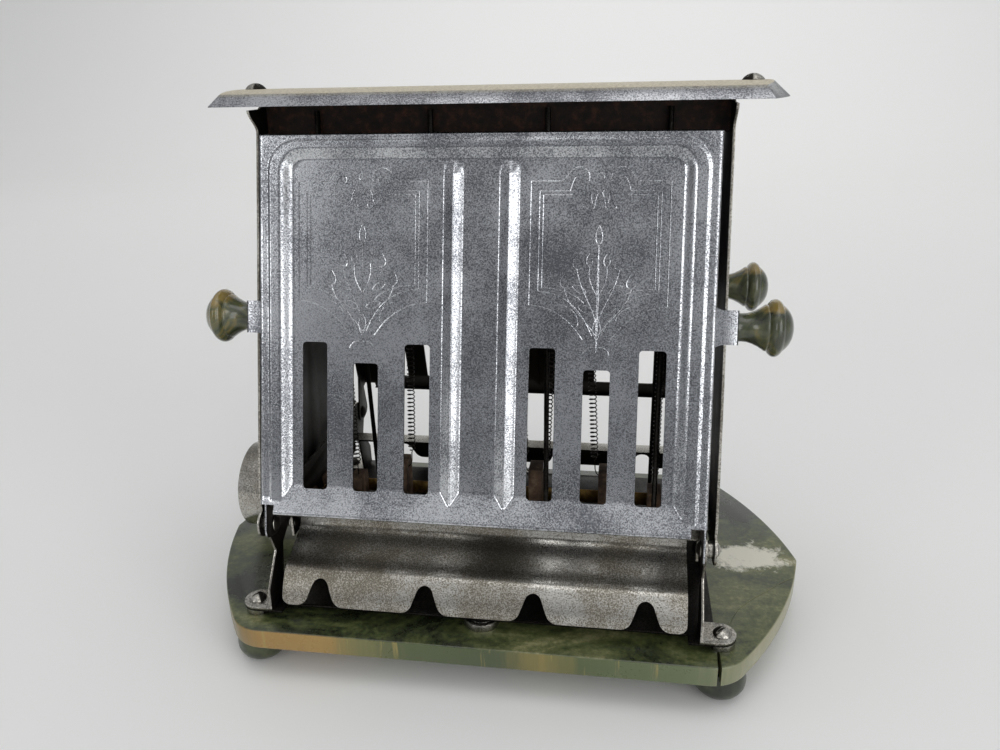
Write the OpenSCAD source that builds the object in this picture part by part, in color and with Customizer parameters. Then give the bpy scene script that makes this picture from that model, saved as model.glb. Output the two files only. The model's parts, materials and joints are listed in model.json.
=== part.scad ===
// Drop side toaster: an A-frame body with two bottom-hinged doors on a cast resin base.
// Millimetres, +Z up, origin on the table under the middle of the base, front door towards -Y.

/* [Base and feet] */
// Length of the base between its two end points
base_l = 256; // [250:1:280]
// Depth of the base
base_w = 150; // [146:1:170]
// Thickness of the base
base_t = 8.3; // [5:0.1:14]
// Distance from the middle to where each curved end meets the straight edge
base_corner_x = 93; // [88:1:100]
// Radius of the four curved stretches of the ends
base_end_r = 170; // [140:5:260]
// Radius that rounds the four corners
base_corner_r = 16; // [8:1:22]
// Diameter of a ball foot
foot_d = 20; // [14:0.5:26]
// Height of the underside of the base above the table
foot_h = 12.9; // [8:0.1:20]
// Distance of the feet and corner screws from the middle, along the length
foot_x = 90.5; // [89:0.5:92]
// Distance of the feet and corner screws from the middle, along the depth
foot_y = 61; // [59:0.5:62]

/* [Frame] */
// Thickness of the steel sheet of the frame
sheet = 0.9; // [0.6:0.1:1.2]
// Height of the spacers between base and bottom plate
spacer_h = 3; // [2:0.1:6]
// Depth of the bottom plate between its corners
plate_w = 124; // [120:1:128]
// Distance from the middle to the outer face of the leg brackets
bracket_x = 83; // [83:0.5:84]
// Distance from the middle to the outer face of the end panels
panel_x = 86.5; // [86.5:0.5:88]
// Width of a foot tab
tab_w = 12.2; // [10:0.2:14]
// Height of the underside of the top plate's rim above the table
rim_z = 212.1; // [210:0.5:224]
// Height of the hinge axes above the table
hinge_z = 58.2; // [57:0.2:60]
// Distance of the hinge axes from the middle
hinge_y = 56; // [55:0.5:57]

/* [Doors] */
// Width of a door
door_w = 164; // [162:0.5:164.2]
// Height of a door along its slope
door_h = 136.3; // [125:0.5:138]
// Angle of a closed door from upright
lean = 15.4; // [14:0.2:16.5]
// Thickness of the door sheet
door_t = 0.8; // [0.6:0.1:1]
// Depth of the flange along the sides of a door
flange_d = 7.4; // [6:0.1:8]
// Depth of the pressed panel below the border
press_d = 1.8; // [1.2:0.1:2.4]
// Width of the border round the pressed panel
border_w = 7.8; // [6:0.2:10]
// Width of a slot
slot_w = 9.4; // [6:0.2:12]
// Length of the four long slots
slot_long = 55; // [40:1:62]
// Length of the two short slots
slot_short = 47.7; // [30:1:54]
// Distance between neighbouring slots in one panel
slot_pitch = 19.3; // [17:0.1:20]
// Distance of the inner slots from the middle
slot_inner_x = 22.7; // [20:0.1:24]
// Distance of the two pressed ridges from the middle
ridge_x = 10; // [6:0.5:12]
// How far a door opens from closed
door_open = 105; // [60:1:105]

/* [Knobs] */
// Diameter of a knob
knob_d = 20.7; // [16:0.1:24]
// Length of a knob
knob_l = 19.8; // [16:0.2:26]
// Diameter of a knob's neck
neck_d = 10.2; // [8:0.1:12]
// Height of the knob axis along the door's slope
knob_v = 70; // [60:1:80]
// Distance of the knob axis behind the door's face
knob_back = 16.7; // [15:0.1:18]
// Width of the strap that carries a knob
strap_w = 12; // [10:0.5:14]
// How far the strap stands out from the side of the door
strap_out = 8.5; // [8:0.1:10]

/* [Top plate] */
// Length of the top plate between the middles of its bowed ends
top_l = 212; // [206:1:220]
// Length of the top plate along its straight edges
top_edge_l = 194; // [188:1:196]
// Depth of the top plate
top_w = 70; // [68:1:76]
// Height of the slope round the top plate
top_rise = 4.1; // [3:0.1:6]
// Width of the slope round the top plate
top_slope = 4.6; // [3:0.1:6]
// How much the top is crowned
top_crown = 1.2; // [0.6:0.1:2]
// Distance of the top screws from the middle
top_screw_x = 93.8; // [92:0.2:95]

/* [Apron] */
// Length of an apron
apron_l = 154.6; // [150:0.2:157]
// Distance of the apron's lower edge from the middle
apron_y = 67.4; // [66:0.2:69]
// Height of the apron's lower edge above the bottom plate
apron_gap = 3.8; // [2:0.1:6]
// Spacing of the cut-outs
cut_pitch = 41.5; // [38:0.5:43]
// Height of a cut-out
cut_h = 9.8; // [6:0.2:12]
// Width of a cut-out at its foot
cut_w = 18; // [12:0.5:22]

/* [Element] */
// Diameter of the wire of the heating coil, drawn thick
wire_d = 0.9; // [0.8:0.1:1]
// Outer diameter of the heating coil
coil_d = 3.5; // [3:0.1:4]
// Spacing of the insulators along each rail
hook_pitch = 30; // [28:0.5:31]
// Height of the lower insulators' holes
hook_low_z = 57; // [54:0.5:60]
// Distance of the upper insulators' holes below the top plate's rim
hook_drop = 14.1; // [13.5:0.1:18]
// Curls in each run of the coil
curls = 8; // [4:1:8]
// Width of the rail over the element
rail_w = 22.8; // [20:0.2:24]
// Diameter of the bread guard wires
guard_d = 2; // [1.6:0.1:2.6]
// Spacing of the upright guard wires
guard_pitch = 43.4; // [40:0.2:44]

/* [Plug socket] */
// Outer diameter of the plug guard
plug_d = 38; // [34:0.5:40]
// How far the plug guard stands out from the end panel
plug_l = 29.5; // [24:0.5:34]
// Height of the terminal pins above the table
pin_z = 44.6; // [44:0.1:46]
// Diameter of a terminal pin
pin_d = 4.8; // [4:0.1:5.2]
// Spacing of the terminal pins
pin_pitch = 19; // [17:0.5:20]
// How far the terminal pins stand out from the end panel
pin_l = 22; // [18:0.5:26]

/* [Hidden] */
$fn = 48;

// Clearance round a screw or rivet in its hole
hole_gap = 0.1;
// Running clearance of a hinge pin, on the radius
hinge_gap = 0.06;
// Gap kept between pieces that seat without touching
seat_gap = 0.3;
// Overshoot of a cut past the face that it opens
past = 1;

base_z = foot_h;
base_top = base_z + base_t;
plate_z = base_top + spacer_h;
plate_top = plate_z + sheet;
tab_top = plate_top + sheet;
door_edge = door_w / 2;
rim_top = rim_z + top_rise;
top_z = rim_top + top_crown;

// Screws and rivets
screw_d = 3.5;
screw_head_d = 7;
screw_head_h = 2.2;
screw_slot = 0.8;
spacer_d = 10;
washer_d = 14;
rivet_d = 3;
rivet_head_d = 5.6;
rivet_head_h = 1.4;
hinge_d = 3.2;
hinge_head_d = 6.4;
hinge_head_h = 1.6;
lobe_r = 5.6;

// The door's own frame: x along its width, y up its face, z out of its face
hinge_back = 11.7;
hinge_down = 10.3;
door_y = hinge_y + hinge_back * cos(lean) - hinge_down * sin(lean);
door_z = hinge_z + hinge_down * cos(lean) + hinge_back * sin(lean);
lip_top = 7.5;
lip_drop = 9.9;
lip_out = 3.6;
hem_r = 1;
notch_w = 5.5;
slot_foot = 6.4;
slot_r = 1.3;
strap_back = flange_d - door_t - 0.1;
strap_t = 0.9;
knob_x = door_edge + strap_out;
panel_back = strap_back + strap_t + seat_gap;

function door_face_y(z) = -door_y + (z - door_z) * tan(lean);
function smooth(t) = let (u = min(1, max(0, t))) u * u * (3 - 2 * u);

module mirror_x() { children(); mirror([1, 0, 0]) children(); }
module mirror_y() { children(); mirror([0, 1, 0]) children(); }
module rear() { rotate([0, 0, 180]) children(); }
// Lays a drawing made in y and z on the plane at x, and gives it the thickness t towards +x
module on_end(x, t) { translate([x, 0, 0]) rotate([90, 0, 90]) linear_extrude(t) children(); }
module rod_x(x0, x1, d, y, z) { translate([x0, y, z]) rotate([0, 90, 0]) cylinder(h = x1 - x0, d = d); }
// A shallow dome of the diameter d and height h, standing on z = 0
module dome(d, h) {
  r = (d * d / 4 + h * h) / (2 * h);
  intersection() { translate([0, 0, h - r]) sphere(r = r, $fn = 64); cylinder(h = h + past, d = d + past); }
}
module slotted_dome(d, h) {
  difference() {
    dome(d, h);
    rotate([0, 0, 40]) translate([-d, -screw_slot / 2, h * 0.45]) cube([2 * d, screw_slot, h]);
  }
}
module rounded_square(w, h, r) {
  translate([-w / 2 + r, 0]) square([w - 2 * r, h]);
  translate([-w / 2, r]) square([w, h - 2 * r]);
  for (x = [-w / 2 + r, w / 2 - r], y = [r, h - r]) translate([x, y]) circle(r = r);
}

// Base and feet
// The bowed ends are four arcs, two to an end, cut off by the straight edges
end_chord = norm([base_l / 2 - base_corner_x, base_w / 2]);
end_dir = atan2(base_w / 2, base_corner_x - base_l / 2) - 90;
end_mid = [(base_l / 2 + base_corner_x) / 2, base_w / 4];
end_reach = sqrt(base_end_r * base_end_r - end_chord * end_chord / 4);
end_centre = end_mid - end_reach * [cos(end_dir), sin(end_dir)];
corner_c = corner_centre(0);
// Centre of the arc that rounds a corner: inside the straight edge and the bowed end by its radius
function corner_centre(n) = let (
  y = base_w / 2 - base_corner_r,
  dy = y - end_centre[1],
  r = base_end_r - base_corner_r) [end_centre[0] + sqrt(r * r - dy * dy), y];
corner_to = atan2(corner_c[1] - end_centre[1], corner_c[0] - end_centre[0]);
tip_from = asin(-end_centre[1] / base_end_r);
base_quarter = concat(
  [for (i = [0:8]) let (a = tip_from + (corner_to - tip_from) * i / 8)
    end_centre + base_end_r * [cos(a), sin(a)]],
  [for (i = [1:8]) let (a = corner_to + (90 - corner_to) * i / 8)
    corner_c + base_corner_r * [cos(a), sin(a)]]);
function flip(points, sx, sy) = [for (p = points) [sx * p[0], sy * p[1]]];
function backwards(points) = [for (i = [len(points) - 1:-1:0]) points[i]];

module base_outline() {
  polygon(concat(base_quarter, backwards(flip(base_quarter, -1, 1)),
    flip(base_quarter, -1, -1), backwards(flip(base_quarter, 1, -1))));
}
module at_corners() { for (x = [-foot_x, foot_x], y = [-foot_y, foot_y]) translate([x, y, 0]) children(); }
module at_centres() { for (y = [-centre_screw_y, centre_screw_y]) translate([0, y, 0]) children(); }
centre_screw_y = plate_w / 2 - 3.5;

module base_plate() {
  color("darkolivegreen") difference() {
    translate([0, 0, base_z]) linear_extrude(base_t) base_outline();
    at_corners() screw_hole(base_z, base_top);
    at_centres() screw_hole(base_z, base_top);
  }
}
module screw_hole(z0, z1) {
  translate([0, 0, z0 - past]) cylinder(h = z1 - z0 + 2 * past, d = screw_d + 2 * hole_gap);
}
screw_deep = foot_h * 0.6;
module foot(sx, sy) {
  color("darkslategray") translate([sx * foot_x, sy * foot_y, 0]) difference() {
    intersection() {
      rotate_extrude() foot_profile();
      cylinder(h = foot_h, d = 2 * foot_d);
    }
    translate([0, 0, foot_h - screw_deep]) cylinder(h = screw_deep + past, d = screw_d + 2 * hole_gap);
  }
}
// A ball flattened a little, with a small flat to stand on
foot_bulge = 0.54;
foot_flat_a = 68;
module foot_profile() {
  top_r = foot_d * 0.42;
  mid = foot_h * foot_bulge;
  steps = 10;
  polygon(concat([[0, 0]],
    [for (i = [0:steps]) let (a = foot_flat_a * (i / steps - 1))
      [foot_d / 2 * cos(a), mid + mid / sin(foot_flat_a) * sin(a)]],
    [for (i = [1:steps]) let (a = 90 * i / steps)
      [top_r + (foot_d / 2 - top_r) * cos(a), mid + (foot_h - mid) * sin(a)]],
    [[0, foot_h]]));
}
module base_screw(z_seat, z_end) {
  translate([0, 0, z_seat]) slotted_dome(screw_head_d, screw_head_h);
  translate([0, 0, z_end]) cylinder(h = z_seat - z_end, d = screw_d);
}
module base_screws() {
  color("silver") {
    at_corners() base_screw(tab_top, foot_h - screw_deep + 1);
    at_centres() base_screw(plate_top, base_z + 1);
  }
}
module corner_spacers() {
  color("silver") at_corners() difference() {
    translate([0, 0, base_top]) cylinder(h = spacer_h, d = spacer_d);
    screw_hole(base_top, plate_z);
  }
}
// A dished washer: a flat centre under the plate and a rim turned up round it
module centre_washers() {
  color("gray") at_centres() difference() {
    translate([0, 0, base_top]) cylinder(h = spacer_h, d = washer_d);
    translate([0, 0, base_top + spacer_h - 1]) difference() {
      cylinder(h = 1 + past, d = washer_d - 1.6);
      translate([0, 0, -past]) cylinder(h = 3 * past, d = spacer_d);
    }
    screw_hole(base_top, plate_z);
  }
}

// Bottom plate with an ear at each corner, under the foot tabs
plate_half = panel_x + 1.5;
ear_in = 78;
tab_far = foot_x + tab_w / 2 - 1;
module bottom_plate() {
  color("dimgray") difference() {
    translate([0, 0, plate_z]) linear_extrude(sheet) {
      translate([-plate_half, -plate_w / 2]) square([2 * plate_half, plate_w]);
      for (s = [-1, 1], t = [-1, 1]) scale([s, t]) {
        translate([ear_in, foot_y - tab_w / 2]) square([tab_far - tab_w / 2 - ear_in, tab_w]);
        translate([tab_far - tab_w / 2, foot_y]) circle(d = tab_w);
      }
    }
    at_corners() screw_hole(plate_z, plate_top);
    at_centres() screw_hole(plate_z, plate_top);
  }
}

// Leg brackets: two legs and a cheek in one sheet, with the foot tabs turned outwards
cheek_low = pin_z + 7;
cheek_high = hinge_z + 7;
neck_z = plate_top + 21;
leg_knee_z = plate_top + 9;
leg_in_y = foot_y - tab_w / 2;
leg_out_y = foot_y + tab_w / 2;
rivet_y = 38;
rivet_z = hinge_z;
module cheek_outline() {
  polygon([[leg_out_y, plate_top], [leg_out_y - 0.6, leg_knee_z], [hinge_y + 0.8, neck_z],
    [hinge_y + 5, hinge_z - 2], [hinge_y, cheek_high - 1.4], [hinge_y - 5, cheek_high],
    [-hinge_y + 5, cheek_high], [-hinge_y, cheek_high - 1.4], [-hinge_y - 5, hinge_z - 2],
    [-hinge_y - 0.8, neck_z], [-leg_out_y + 0.6, leg_knee_z], [-leg_out_y, plate_top],
    [-leg_in_y, plate_top], [-leg_in_y + 5, neck_z], [-leg_in_y + 14, cheek_low],
    [leg_in_y - 14, cheek_low], [leg_in_y - 5, neck_z], [leg_in_y, plate_top]]);
  for (y = [-hinge_y, hinge_y]) translate([y, hinge_z]) circle(r = lobe_r);
}
module leg_bracket() {
  color("silver") difference() {
    union() {
      on_end(bracket_x - sheet, sheet) cheek_outline();
      translate([0, 0, plate_top]) linear_extrude(sheet) for (t = [-1, 1]) scale([1, t]) {
        translate([bracket_x - sheet, leg_in_y]) square([tab_far - tab_w / 2 - bracket_x + sheet, tab_w]);
        translate([tab_far - tab_w / 2, foot_y]) circle(d = tab_w);
      }
    }
    at_corners() screw_hole(plate_top, tab_top);
    for (y = [-hinge_y, hinge_y]) rod_x(bracket_x - 3, bracket_x + past, hinge_d + 2 * hole_gap, y, hinge_z);
    for (y = [-rivet_y, rivet_y]) rod_x(bracket_x - 3, bracket_x + past, rivet_d + 2 * hole_gap, y, rivet_z);
    for (y = [-apron_rivet_y, apron_rivet_y])
      rod_x(bracket_x - 3, bracket_x + past, rivet_d + 2 * hole_gap, y, apron_rivet_z);
  }
}

// End panels: an A-shaped sheet, flared at the top, with a tongue that stands on the bottom plate
flare_z = rim_z - 9.5;
flare_top = rim_z - 1.5;
flare_w = 6.3;
panel_low = hinge_z - lobe_r;
tongue_w = 48;
flange_w = 26;
flange_z = top_z - sheet - seat_gap - top_crown * 0.2;
flange_reach = top_screw_x + 4.6;
function panel_edge_y(z) = door_face_y(z) + panel_back / cos(lean);
panel_side = concat(
  [[tongue_w / 2, plate_top], [tongue_w / 2, panel_low - 6], [tongue_w / 2 + 6, panel_low],
    [hinge_y, panel_low]],
  [[-panel_edge_y(hinge_z + lobe_r + 5), hinge_z + lobe_r + 5]],
  [for (i = [0:8]) let (z = flare_z + (flare_top - flare_z) * i / 8)
    [-panel_edge_y(flare_z) + flare_w * smooth(i / 8), z]],
  [[flange_w / 2 + 4, flare_top], [flange_w / 2, flare_top + 2], [flange_w / 2, flange_z]]);
module panel_outline() {
  polygon(concat(panel_side, backwards(flip(panel_side, -1, 1))));
  for (y = [-hinge_y, hinge_y]) translate([y, hinge_z]) circle(r = lobe_r);
}
module end_panel() {
  difference() {
    union() {
      on_end(panel_x - sheet, sheet) panel_outline();
      translate([panel_x - sheet, -flange_w / 2, flange_z - sheet])
        cube([flange_reach - panel_x + sheet, flange_w, sheet]);
    }
    for (y = [-hinge_y, hinge_y]) rod_x(panel_x - 3, panel_x + past, hinge_d + 2 * hole_gap, y, hinge_z);
    for (y = [-rivet_y, rivet_y]) rod_x(panel_x - 3, panel_x + past, rivet_d + 2 * hole_gap, y, rivet_z);
    for (y = [-rail_rivet_y, rail_rivet_y])
      rod_x(panel_x - 3, panel_x + past, rivet_d + 2 * hole_gap, y, rail_rivet_z);
    translate([top_screw_x, 0, flange_z - 2]) cylinder(h = 4, d = screw_d + 2 * hole_gap);
  }
}
module end_panel_left() {
  color("silver") difference() {
    mirror([1, 0, 0]) end_panel();
    for (y = [-pin_pitch / 2, pin_pitch / 2])
      rod_x(-panel_x - past, -panel_x + 3, bush_d + 2 * hole_gap, y, pin_z);
  }
}
module end_panel_right() { color("silver") end_panel(); }
// A rivet along x: its shank, a formed head at each end and a collar where it bridges a gap
module rivet(x0, x1, y, z) {
  rod_x(x0, x1, rivet_d, y, z);
  translate([x1, y, z]) rotate([0, 90, 0]) dome(rivet_head_d, rivet_head_h);
  translate([x0, y, z]) rotate([0, -90, 0]) dome(rivet_head_d, rivet_head_h);
}
module panel_rivets() {
  color("gray") mirror_x() for (y = [-rivet_y, rivet_y]) {
    rivet(bracket_x - sheet, panel_x, y, rivet_z);
    rod_x(bracket_x, panel_x - sheet, rivet_head_d, y, rivet_z);
  }
}

// Hinge pins: riveted through panel and leg, with the door's ear turning on the inner end
pin_in_x = door_edge - door_t - 0.2;
module hinge_pin() {
  color("gray") translate([0, -hinge_y, 0]) {
    rod_x(pin_in_x, panel_x, hinge_d, 0, hinge_z);
    rod_x(bracket_x, panel_x - sheet, hinge_head_d, 0, hinge_z);
    translate([panel_x, 0, hinge_z]) rotate([0, 90, 0]) dome(hinge_head_d, hinge_head_h);
    translate([pin_in_x, 0, hinge_z]) rotate([0, -90, 0]) dome(hinge_head_d, hinge_head_h);
  }
}

// Top plate: a shallow tray with bowed ends, sloped sides and a crowned top
module top_form(inset) {
  bow_mid = top_l / 2;
  sag = (top_l - top_edge_l) / 2;
  bow_r = (top_w * top_w / 4 + sag * sag) / (2 * sag);
  side = top_w / 2 - inset;
  flat = side - top_slope;
  crown_r = (flat * flat + top_crown * top_crown) / (2 * top_crown);
  h = top_rise - inset;
  intersection() {
    translate([-top_l, 0, rim_z]) rotate([90, 0, 90]) linear_extrude(2 * top_l) {
      polygon(concat([[-side, -past], [side, -past], [side, 0]],
        [for (i = [0:12]) let (y = flat - 2 * flat * i / 12)
          [y, h + sqrt(crown_r * crown_r - y * y) - crown_r + top_crown]],
        [[-side, 0]]));
    }
    top_bow(bow_mid - bow_r, bow_r - inset, h);
    mirror([1, 0, 0]) top_bow(bow_mid - bow_r, bow_r - inset, h);
  }
}
// One bowed end: a short wall at the rim, then a cone that slopes in above it
module top_bow(x, r, h) {
  slope = top_slope / top_rise;
  translate([-top_l, -top_w, rim_z - past]) cube([top_l + x, 2 * top_w, 4 * top_rise]);
  translate([x, 0, rim_z - past]) cylinder(h = past, r = r, $fn = 180);
  translate([x, 0, rim_z])
    cylinder(h = h + 2 * top_crown, r1 = r, r2 = r - slope * (h + 2 * top_crown), $fn = 180);
}
module top_plate() {
  color("silver") difference() {
    top_form(0);
    top_form(sheet);
    translate([-top_l, -top_w, rim_z - 3 * past]) cube([2 * top_l, 2 * top_w, 3 * past]);
    mirror_x() translate([top_screw_x, 0, rim_z]) cylinder(h = 3 * top_rise, d = screw_d + 2 * hole_gap);
  }
}
module top_screws() {
  color("silver") mirror_x() translate([top_screw_x, 0, 0]) {
    translate([0, 0, top_z + 0.05]) slotted_dome(screw_head_d + 1, screw_head_h);
    translate([0, 0, flange_z - 3]) cylinder(h = top_z + 0.05 - flange_z + 3, d = screw_d);
  }
}

// Aprons: a sheet that slopes out from under the door and drops to a scalloped edge
apron_low = plate_top + apron_gap;
apron_run = 26.4;
apron_rise = 24.3;
ledge_w = 8;
ear_h = 10;
ledge_in = apron_y - apron_run - ledge_w;
ledge_z = apron_low + apron_rise;
apron_line = [[apron_y, apron_low], [apron_y - 1.7, apron_low + 5], [apron_y - 4.6, apron_low + 9.9],
  [apron_y - 7.4, apron_low + 12.6], [apron_y - 12, apron_low + 14.4], [apron_y - 18.1, apron_low + 17.4],
  [apron_y - apron_run + 2, ledge_z - 3.9], [apron_y - apron_run, ledge_z], [ledge_in, ledge_z]];
apron_rivet_y = ledge_in + 4;
apron_rivet_z = ledge_z - 6;
function unit(v) = v / norm(v);
function side_of(a, b) = let (u = unit(b - a)) [u[1], -u[0]];
// The same line moved to its inner side by the thickness of the sheet
function offset_line(line, t) = [for (i = [0:len(line) - 1]) let (
  n0 = side_of(line[max(0, i - 1)], line[max(1, i)]),
  n1 = side_of(line[min(len(line) - 2, i)], line[min(len(line) - 1, i + 1)]),
  n = unit(n0 + n1)) line[i] - n * t / (n * n1)];
function bell(dx) = cut_h * (1 - smooth((abs(dx) - cut_w * 0.09) / (cut_w * 0.41)));
function apron_edge(x) = apron_low + max([for (k = [-1.5:1:1.5]) bell(x - k * cut_pitch)]);
apron_step = 1.2;
module apron_sheet() {
  intersection() {
    translate([-apron_l / 2, 0, 0]) rotate([90, 0, 90]) linear_extrude(apron_l)
      polygon(concat(apron_line, backwards(offset_line(apron_line, -sheet))));
    rotate([90, 0, 0]) translate([0, 0, -apron_y - past]) linear_extrude(apron_y)
      polygon(concat([[apron_l / 2, ledge_z + past], [-apron_l / 2, ledge_z + past],
        [-apron_l / 2, apron_low + 3], [-apron_l / 2 + 3, apron_low]],
        [for (x = [-1.5 * cut_pitch - cut_w / 2:apron_step:1.5 * cut_pitch + cut_w / 2])
          [x, apron_edge(x)]],
        [[apron_l / 2 - 3, apron_low], [apron_l / 2, apron_low + 3]]));
  }
}
module apron() {
  ear_x = bracket_x - 2 * sheet;
  color("silver") rear() difference() {
    union() {
      apron_sheet();
      mirror_x() {
        translate([apron_l / 2 - past, ledge_in, ledge_z - sheet])
          cube([ear_x - apron_l / 2 + 2 * past - 0.1, ledge_w, sheet]);
        translate([ear_x, ledge_in, ledge_z - ear_h]) cube([sheet, ledge_w, ear_h]);
      }
    }
    for (x = [-bracket_x, bracket_x - 3])
      rod_x(x, x + 3, rivet_d + 2 * hole_gap, apron_rivet_y, apron_rivet_z);
  }
}
module apron_rivets() {
  color("gray") mirror_y() mirror_x()
    rivet(bracket_x - 2 * sheet, bracket_x, apron_rivet_y, apron_rivet_z);
}

// Doors
module on_door() { translate([0, -door_y, door_z]) rotate([90 - lean, 0, 0]) children(); }
recess_in = 4.7;
recess_drop = 3.5;
recess_top = door_h - 5.3;
band_w = 4.4;
band_h = 0.4;
// The pressed recess as a tray that tapers inwards, open at the foot; g grows it for the sheet's back
module recess(g) {
  w = door_w - 2 * border_w + 2 * g;
  h = recess_top + g + 20;
  hull() {
    translate([0, -20, 0]) linear_extrude(past) rounded_square(w, h, 8, $fn = 32);
    translate([0, -20, -press_d - g * 1.2]) linear_extrude(0.01)
      rounded_square(w - 2 * recess_in, h - recess_drop, 5, $fn = 32);
  }
}
module door_band() {
  linear_extrude(band_h) difference() {
    translate([0, 3]) rounded_square(door_w - 2 * border_w + 2 * band_w, door_h - 5, 11);
    translate([0, -past]) rounded_square(door_w - 2 * border_w, recess_top + past, 8);
    translate([-door_w / 2, -past]) square([door_w, 12]);
  }
}
module slots() {
  for (s = [-1, 1], k = [0:2]) translate([s * (slot_inner_x + k * slot_pitch), slot_foot, -8])
    linear_extrude(10) rounded_square(slot_w, k == 1 ? slot_short : slot_long, slot_r);
}
ridge_half = 3.7;
ridge_crest = 0.1;
ridge_foot = 2;
ridge_top = recess_top - recess_drop - 1;
// A ridge in section, with hollow flanks: t moves its crest back, wide spreads or narrows its foot
module ridge_section(t, wide, back) {
  floor_z = -press_d - t;
  crest = ridge_crest - t;
  polygon([[-wide, back], [-wide, floor_z], [-wide * 0.45, floor_z + (crest - floor_z) * 0.42], [-0.3, crest],
    [0.3, crest], [wide * 0.45, floor_z + (crest - floor_z) * 0.42], [wide, floor_z], [wide, back]]);
}
// Two pressed ridges that rise from the recess and run out in the lip
module ridges() {
  for (s = [-1, 1]) intersection() {
    translate([s * ridge_x, ridge_top + past, 0]) rotate([90, 0, 0]) linear_extrude(ridge_top + 2 * past)
      ridge_section(0, ridge_half, -press_d - door_t / 2);
    on_end(s * ridge_x - 2 * ridge_half, 4 * ridge_half)
      polygon([[ridge_foot, ridge_crest - door_t], [ridge_foot, ridge_crest + past],
        [ridge_top - 4.5, ridge_crest + 0.05], [ridge_top, -press_d], [ridge_top, -press_d - door_t / 2],
        [lip_top, -press_d - door_t / 2]]);
  }
}
// What makes the ridges hollow from behind, as a pressing is
module ridge_cut() {
  for (s = [-1, 1]) intersection() {
    translate([s * ridge_x, ridge_top - past, 0]) rotate([90, 0, 0])
      linear_extrude(ridge_top - lip_top - 2 * past)
        ridge_section(door_t * 1.2, ridge_half - 0.4, -flange_d);
    on_end(s * ridge_x - 2 * ridge_half, 4 * ridge_half)
      polygon([[0, -flange_d - past], [0, past], [ridge_top - 5.2, past],
        [ridge_top - 5.2, ridge_crest - door_t], [ridge_top - 1.4, -press_d - door_t],
        [ridge_top, -flange_d - past]]);
  }
}
module door_shell() {
  difference() {
    union() {
      difference() {
        translate([-door_edge, 0, -flange_d]) cube([door_w, door_h, flange_d]);
        translate([-door_edge + door_t, -past, -flange_d - past])
          cube([door_w - 2 * door_t, door_h + past - door_t, flange_d + past - door_t]);
        translate([-door_edge + door_t, 6, -flange_d - past])
          cube([door_w - 2 * door_t, door_h, flange_d - 3]);
      }
      intersection() {
        recess(door_t);
        translate([-door_edge, lip_top - 0.8, -press_d - 2]) cube([door_w, door_h - lip_top, press_d + 2]);
      }
      door_band();
    }
    recess(0);
  }
}
// Lip along the foot, sloping out and rolled under at its edge
module door_lip() {
  w = door_w - 2 * notch_w;
  foot = [lip_top - lip_drop, -press_d + lip_out];
  translate([-w / 2, 0, 0]) rotate([90, 0, 90]) linear_extrude(w)
    polygon([[lip_top, -press_d], foot, foot - [-0.2, door_t], [lip_top + 0.2, -press_d - door_t]]);
  translate([-w / 2, foot[0] + hem_r * 0.6, foot[1] - hem_r]) rotate([0, 90, 0])
    cylinder(h = w, r = hem_r);
}
ear_front = 3.3;
ear_r = 4.6;
module door_ear() {
  difference() {
    on_end(door_edge - door_t, door_t) {
      translate([-hinge_down, -hinge_back]) circle(r = ear_r);
      translate([-hinge_down - 1, -ear_front - 3.6]) circle(r = 3.6);
      polygon([[6, -ear_front + 1], [0, -ear_front], [-hinge_down - 1, -ear_front],
        [-hinge_down - ear_r, -ear_front - 3.6], [-hinge_down - ear_r, -hinge_back],
        [-hinge_down, -hinge_back - ear_r], [0, -hinge_back], [9, -flange_d], [9, -ear_front]]);
    }
    rod_x(0, door_edge + past, hinge_d + 2 * hinge_gap, -hinge_down, -hinge_back);
  }
}
// Strap turned out from the door's flange and back along the end panel, to carry a knob
module strap() {
  difference() {
    union() {
      translate([0, knob_v, -strap_back - strap_t]) linear_extrude(strap_t)
        polygon([[door_edge - door_t, -strap_w / 2 - 1.8], [door_edge + 2.5, -strap_w / 2],
          [knob_x, -strap_w / 2], [knob_x, strap_w / 2], [door_edge + 2.5, strap_w / 2],
          [door_edge - door_t, strap_w / 2 + 1.8]]);
      on_end(knob_x - strap_t, strap_t) {
        translate([knob_v - strap_w / 2, -knob_back]) square([strap_w, knob_back - strap_back]);
        translate([knob_v, -knob_back]) circle(d = strap_w);
      }
    }
    rod_x(0, knob_x + past, screw_d + 2 * hole_gap, knob_v, -knob_back);
  }
}
module door() {
  on_door() difference() {
    union() {
      door_shell();
      ridges();
      door_lip();
      mirror_x() { door_ear(); strap(); }
    }
    slots();
    ridge_cut();
  }
}
module door_front() { color("silver") door(); }
module door_rear() { color("silver") rear() door(); }

// Knobs: turned from marbled resin, with a waisted neck, a rounded rim and a domed end
rim_at = knob_l * 0.66;
rim_r = 2.2;
knob_profile = concat([[0, 0], [neck_d / 2 + 0.3, 0], [neck_d / 2, 1.5]],
  [for (i = [0:8]) let (t = i / 8) [neck_d / 2 + 2.7 * pow(t, 2.2), 2.5 + (rim_at - 6) * t]],
  [[neck_d / 2 + 3, rim_at - 3]],
  [for (i = [0:12]) let (a = -75 + 150 * i / 12)
    [knob_d / 2 - rim_r + rim_r * cos(a), rim_at + rim_r * sin(a)]],
  [for (i = [1:8]) let (a = 90 * i / 8)
    [(knob_d / 2 - rim_r) * cos(a), rim_at + rim_r + (knob_l - rim_at - rim_r) * sin(a)]]);
knob_screw_in = 10;
module knob() {
  on_door() translate([knob_x, knob_v, -knob_back]) rotate([0, 90, 0]) difference() {
    rotate_extrude($fn = 72) polygon(knob_profile);
    translate([0, 0, -past]) cylinder(h = knob_screw_in + past, d = screw_d + 2 * hole_gap);
  }
}
module knob_left() { mirror([1, 0, 0]) knob(); }
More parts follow.
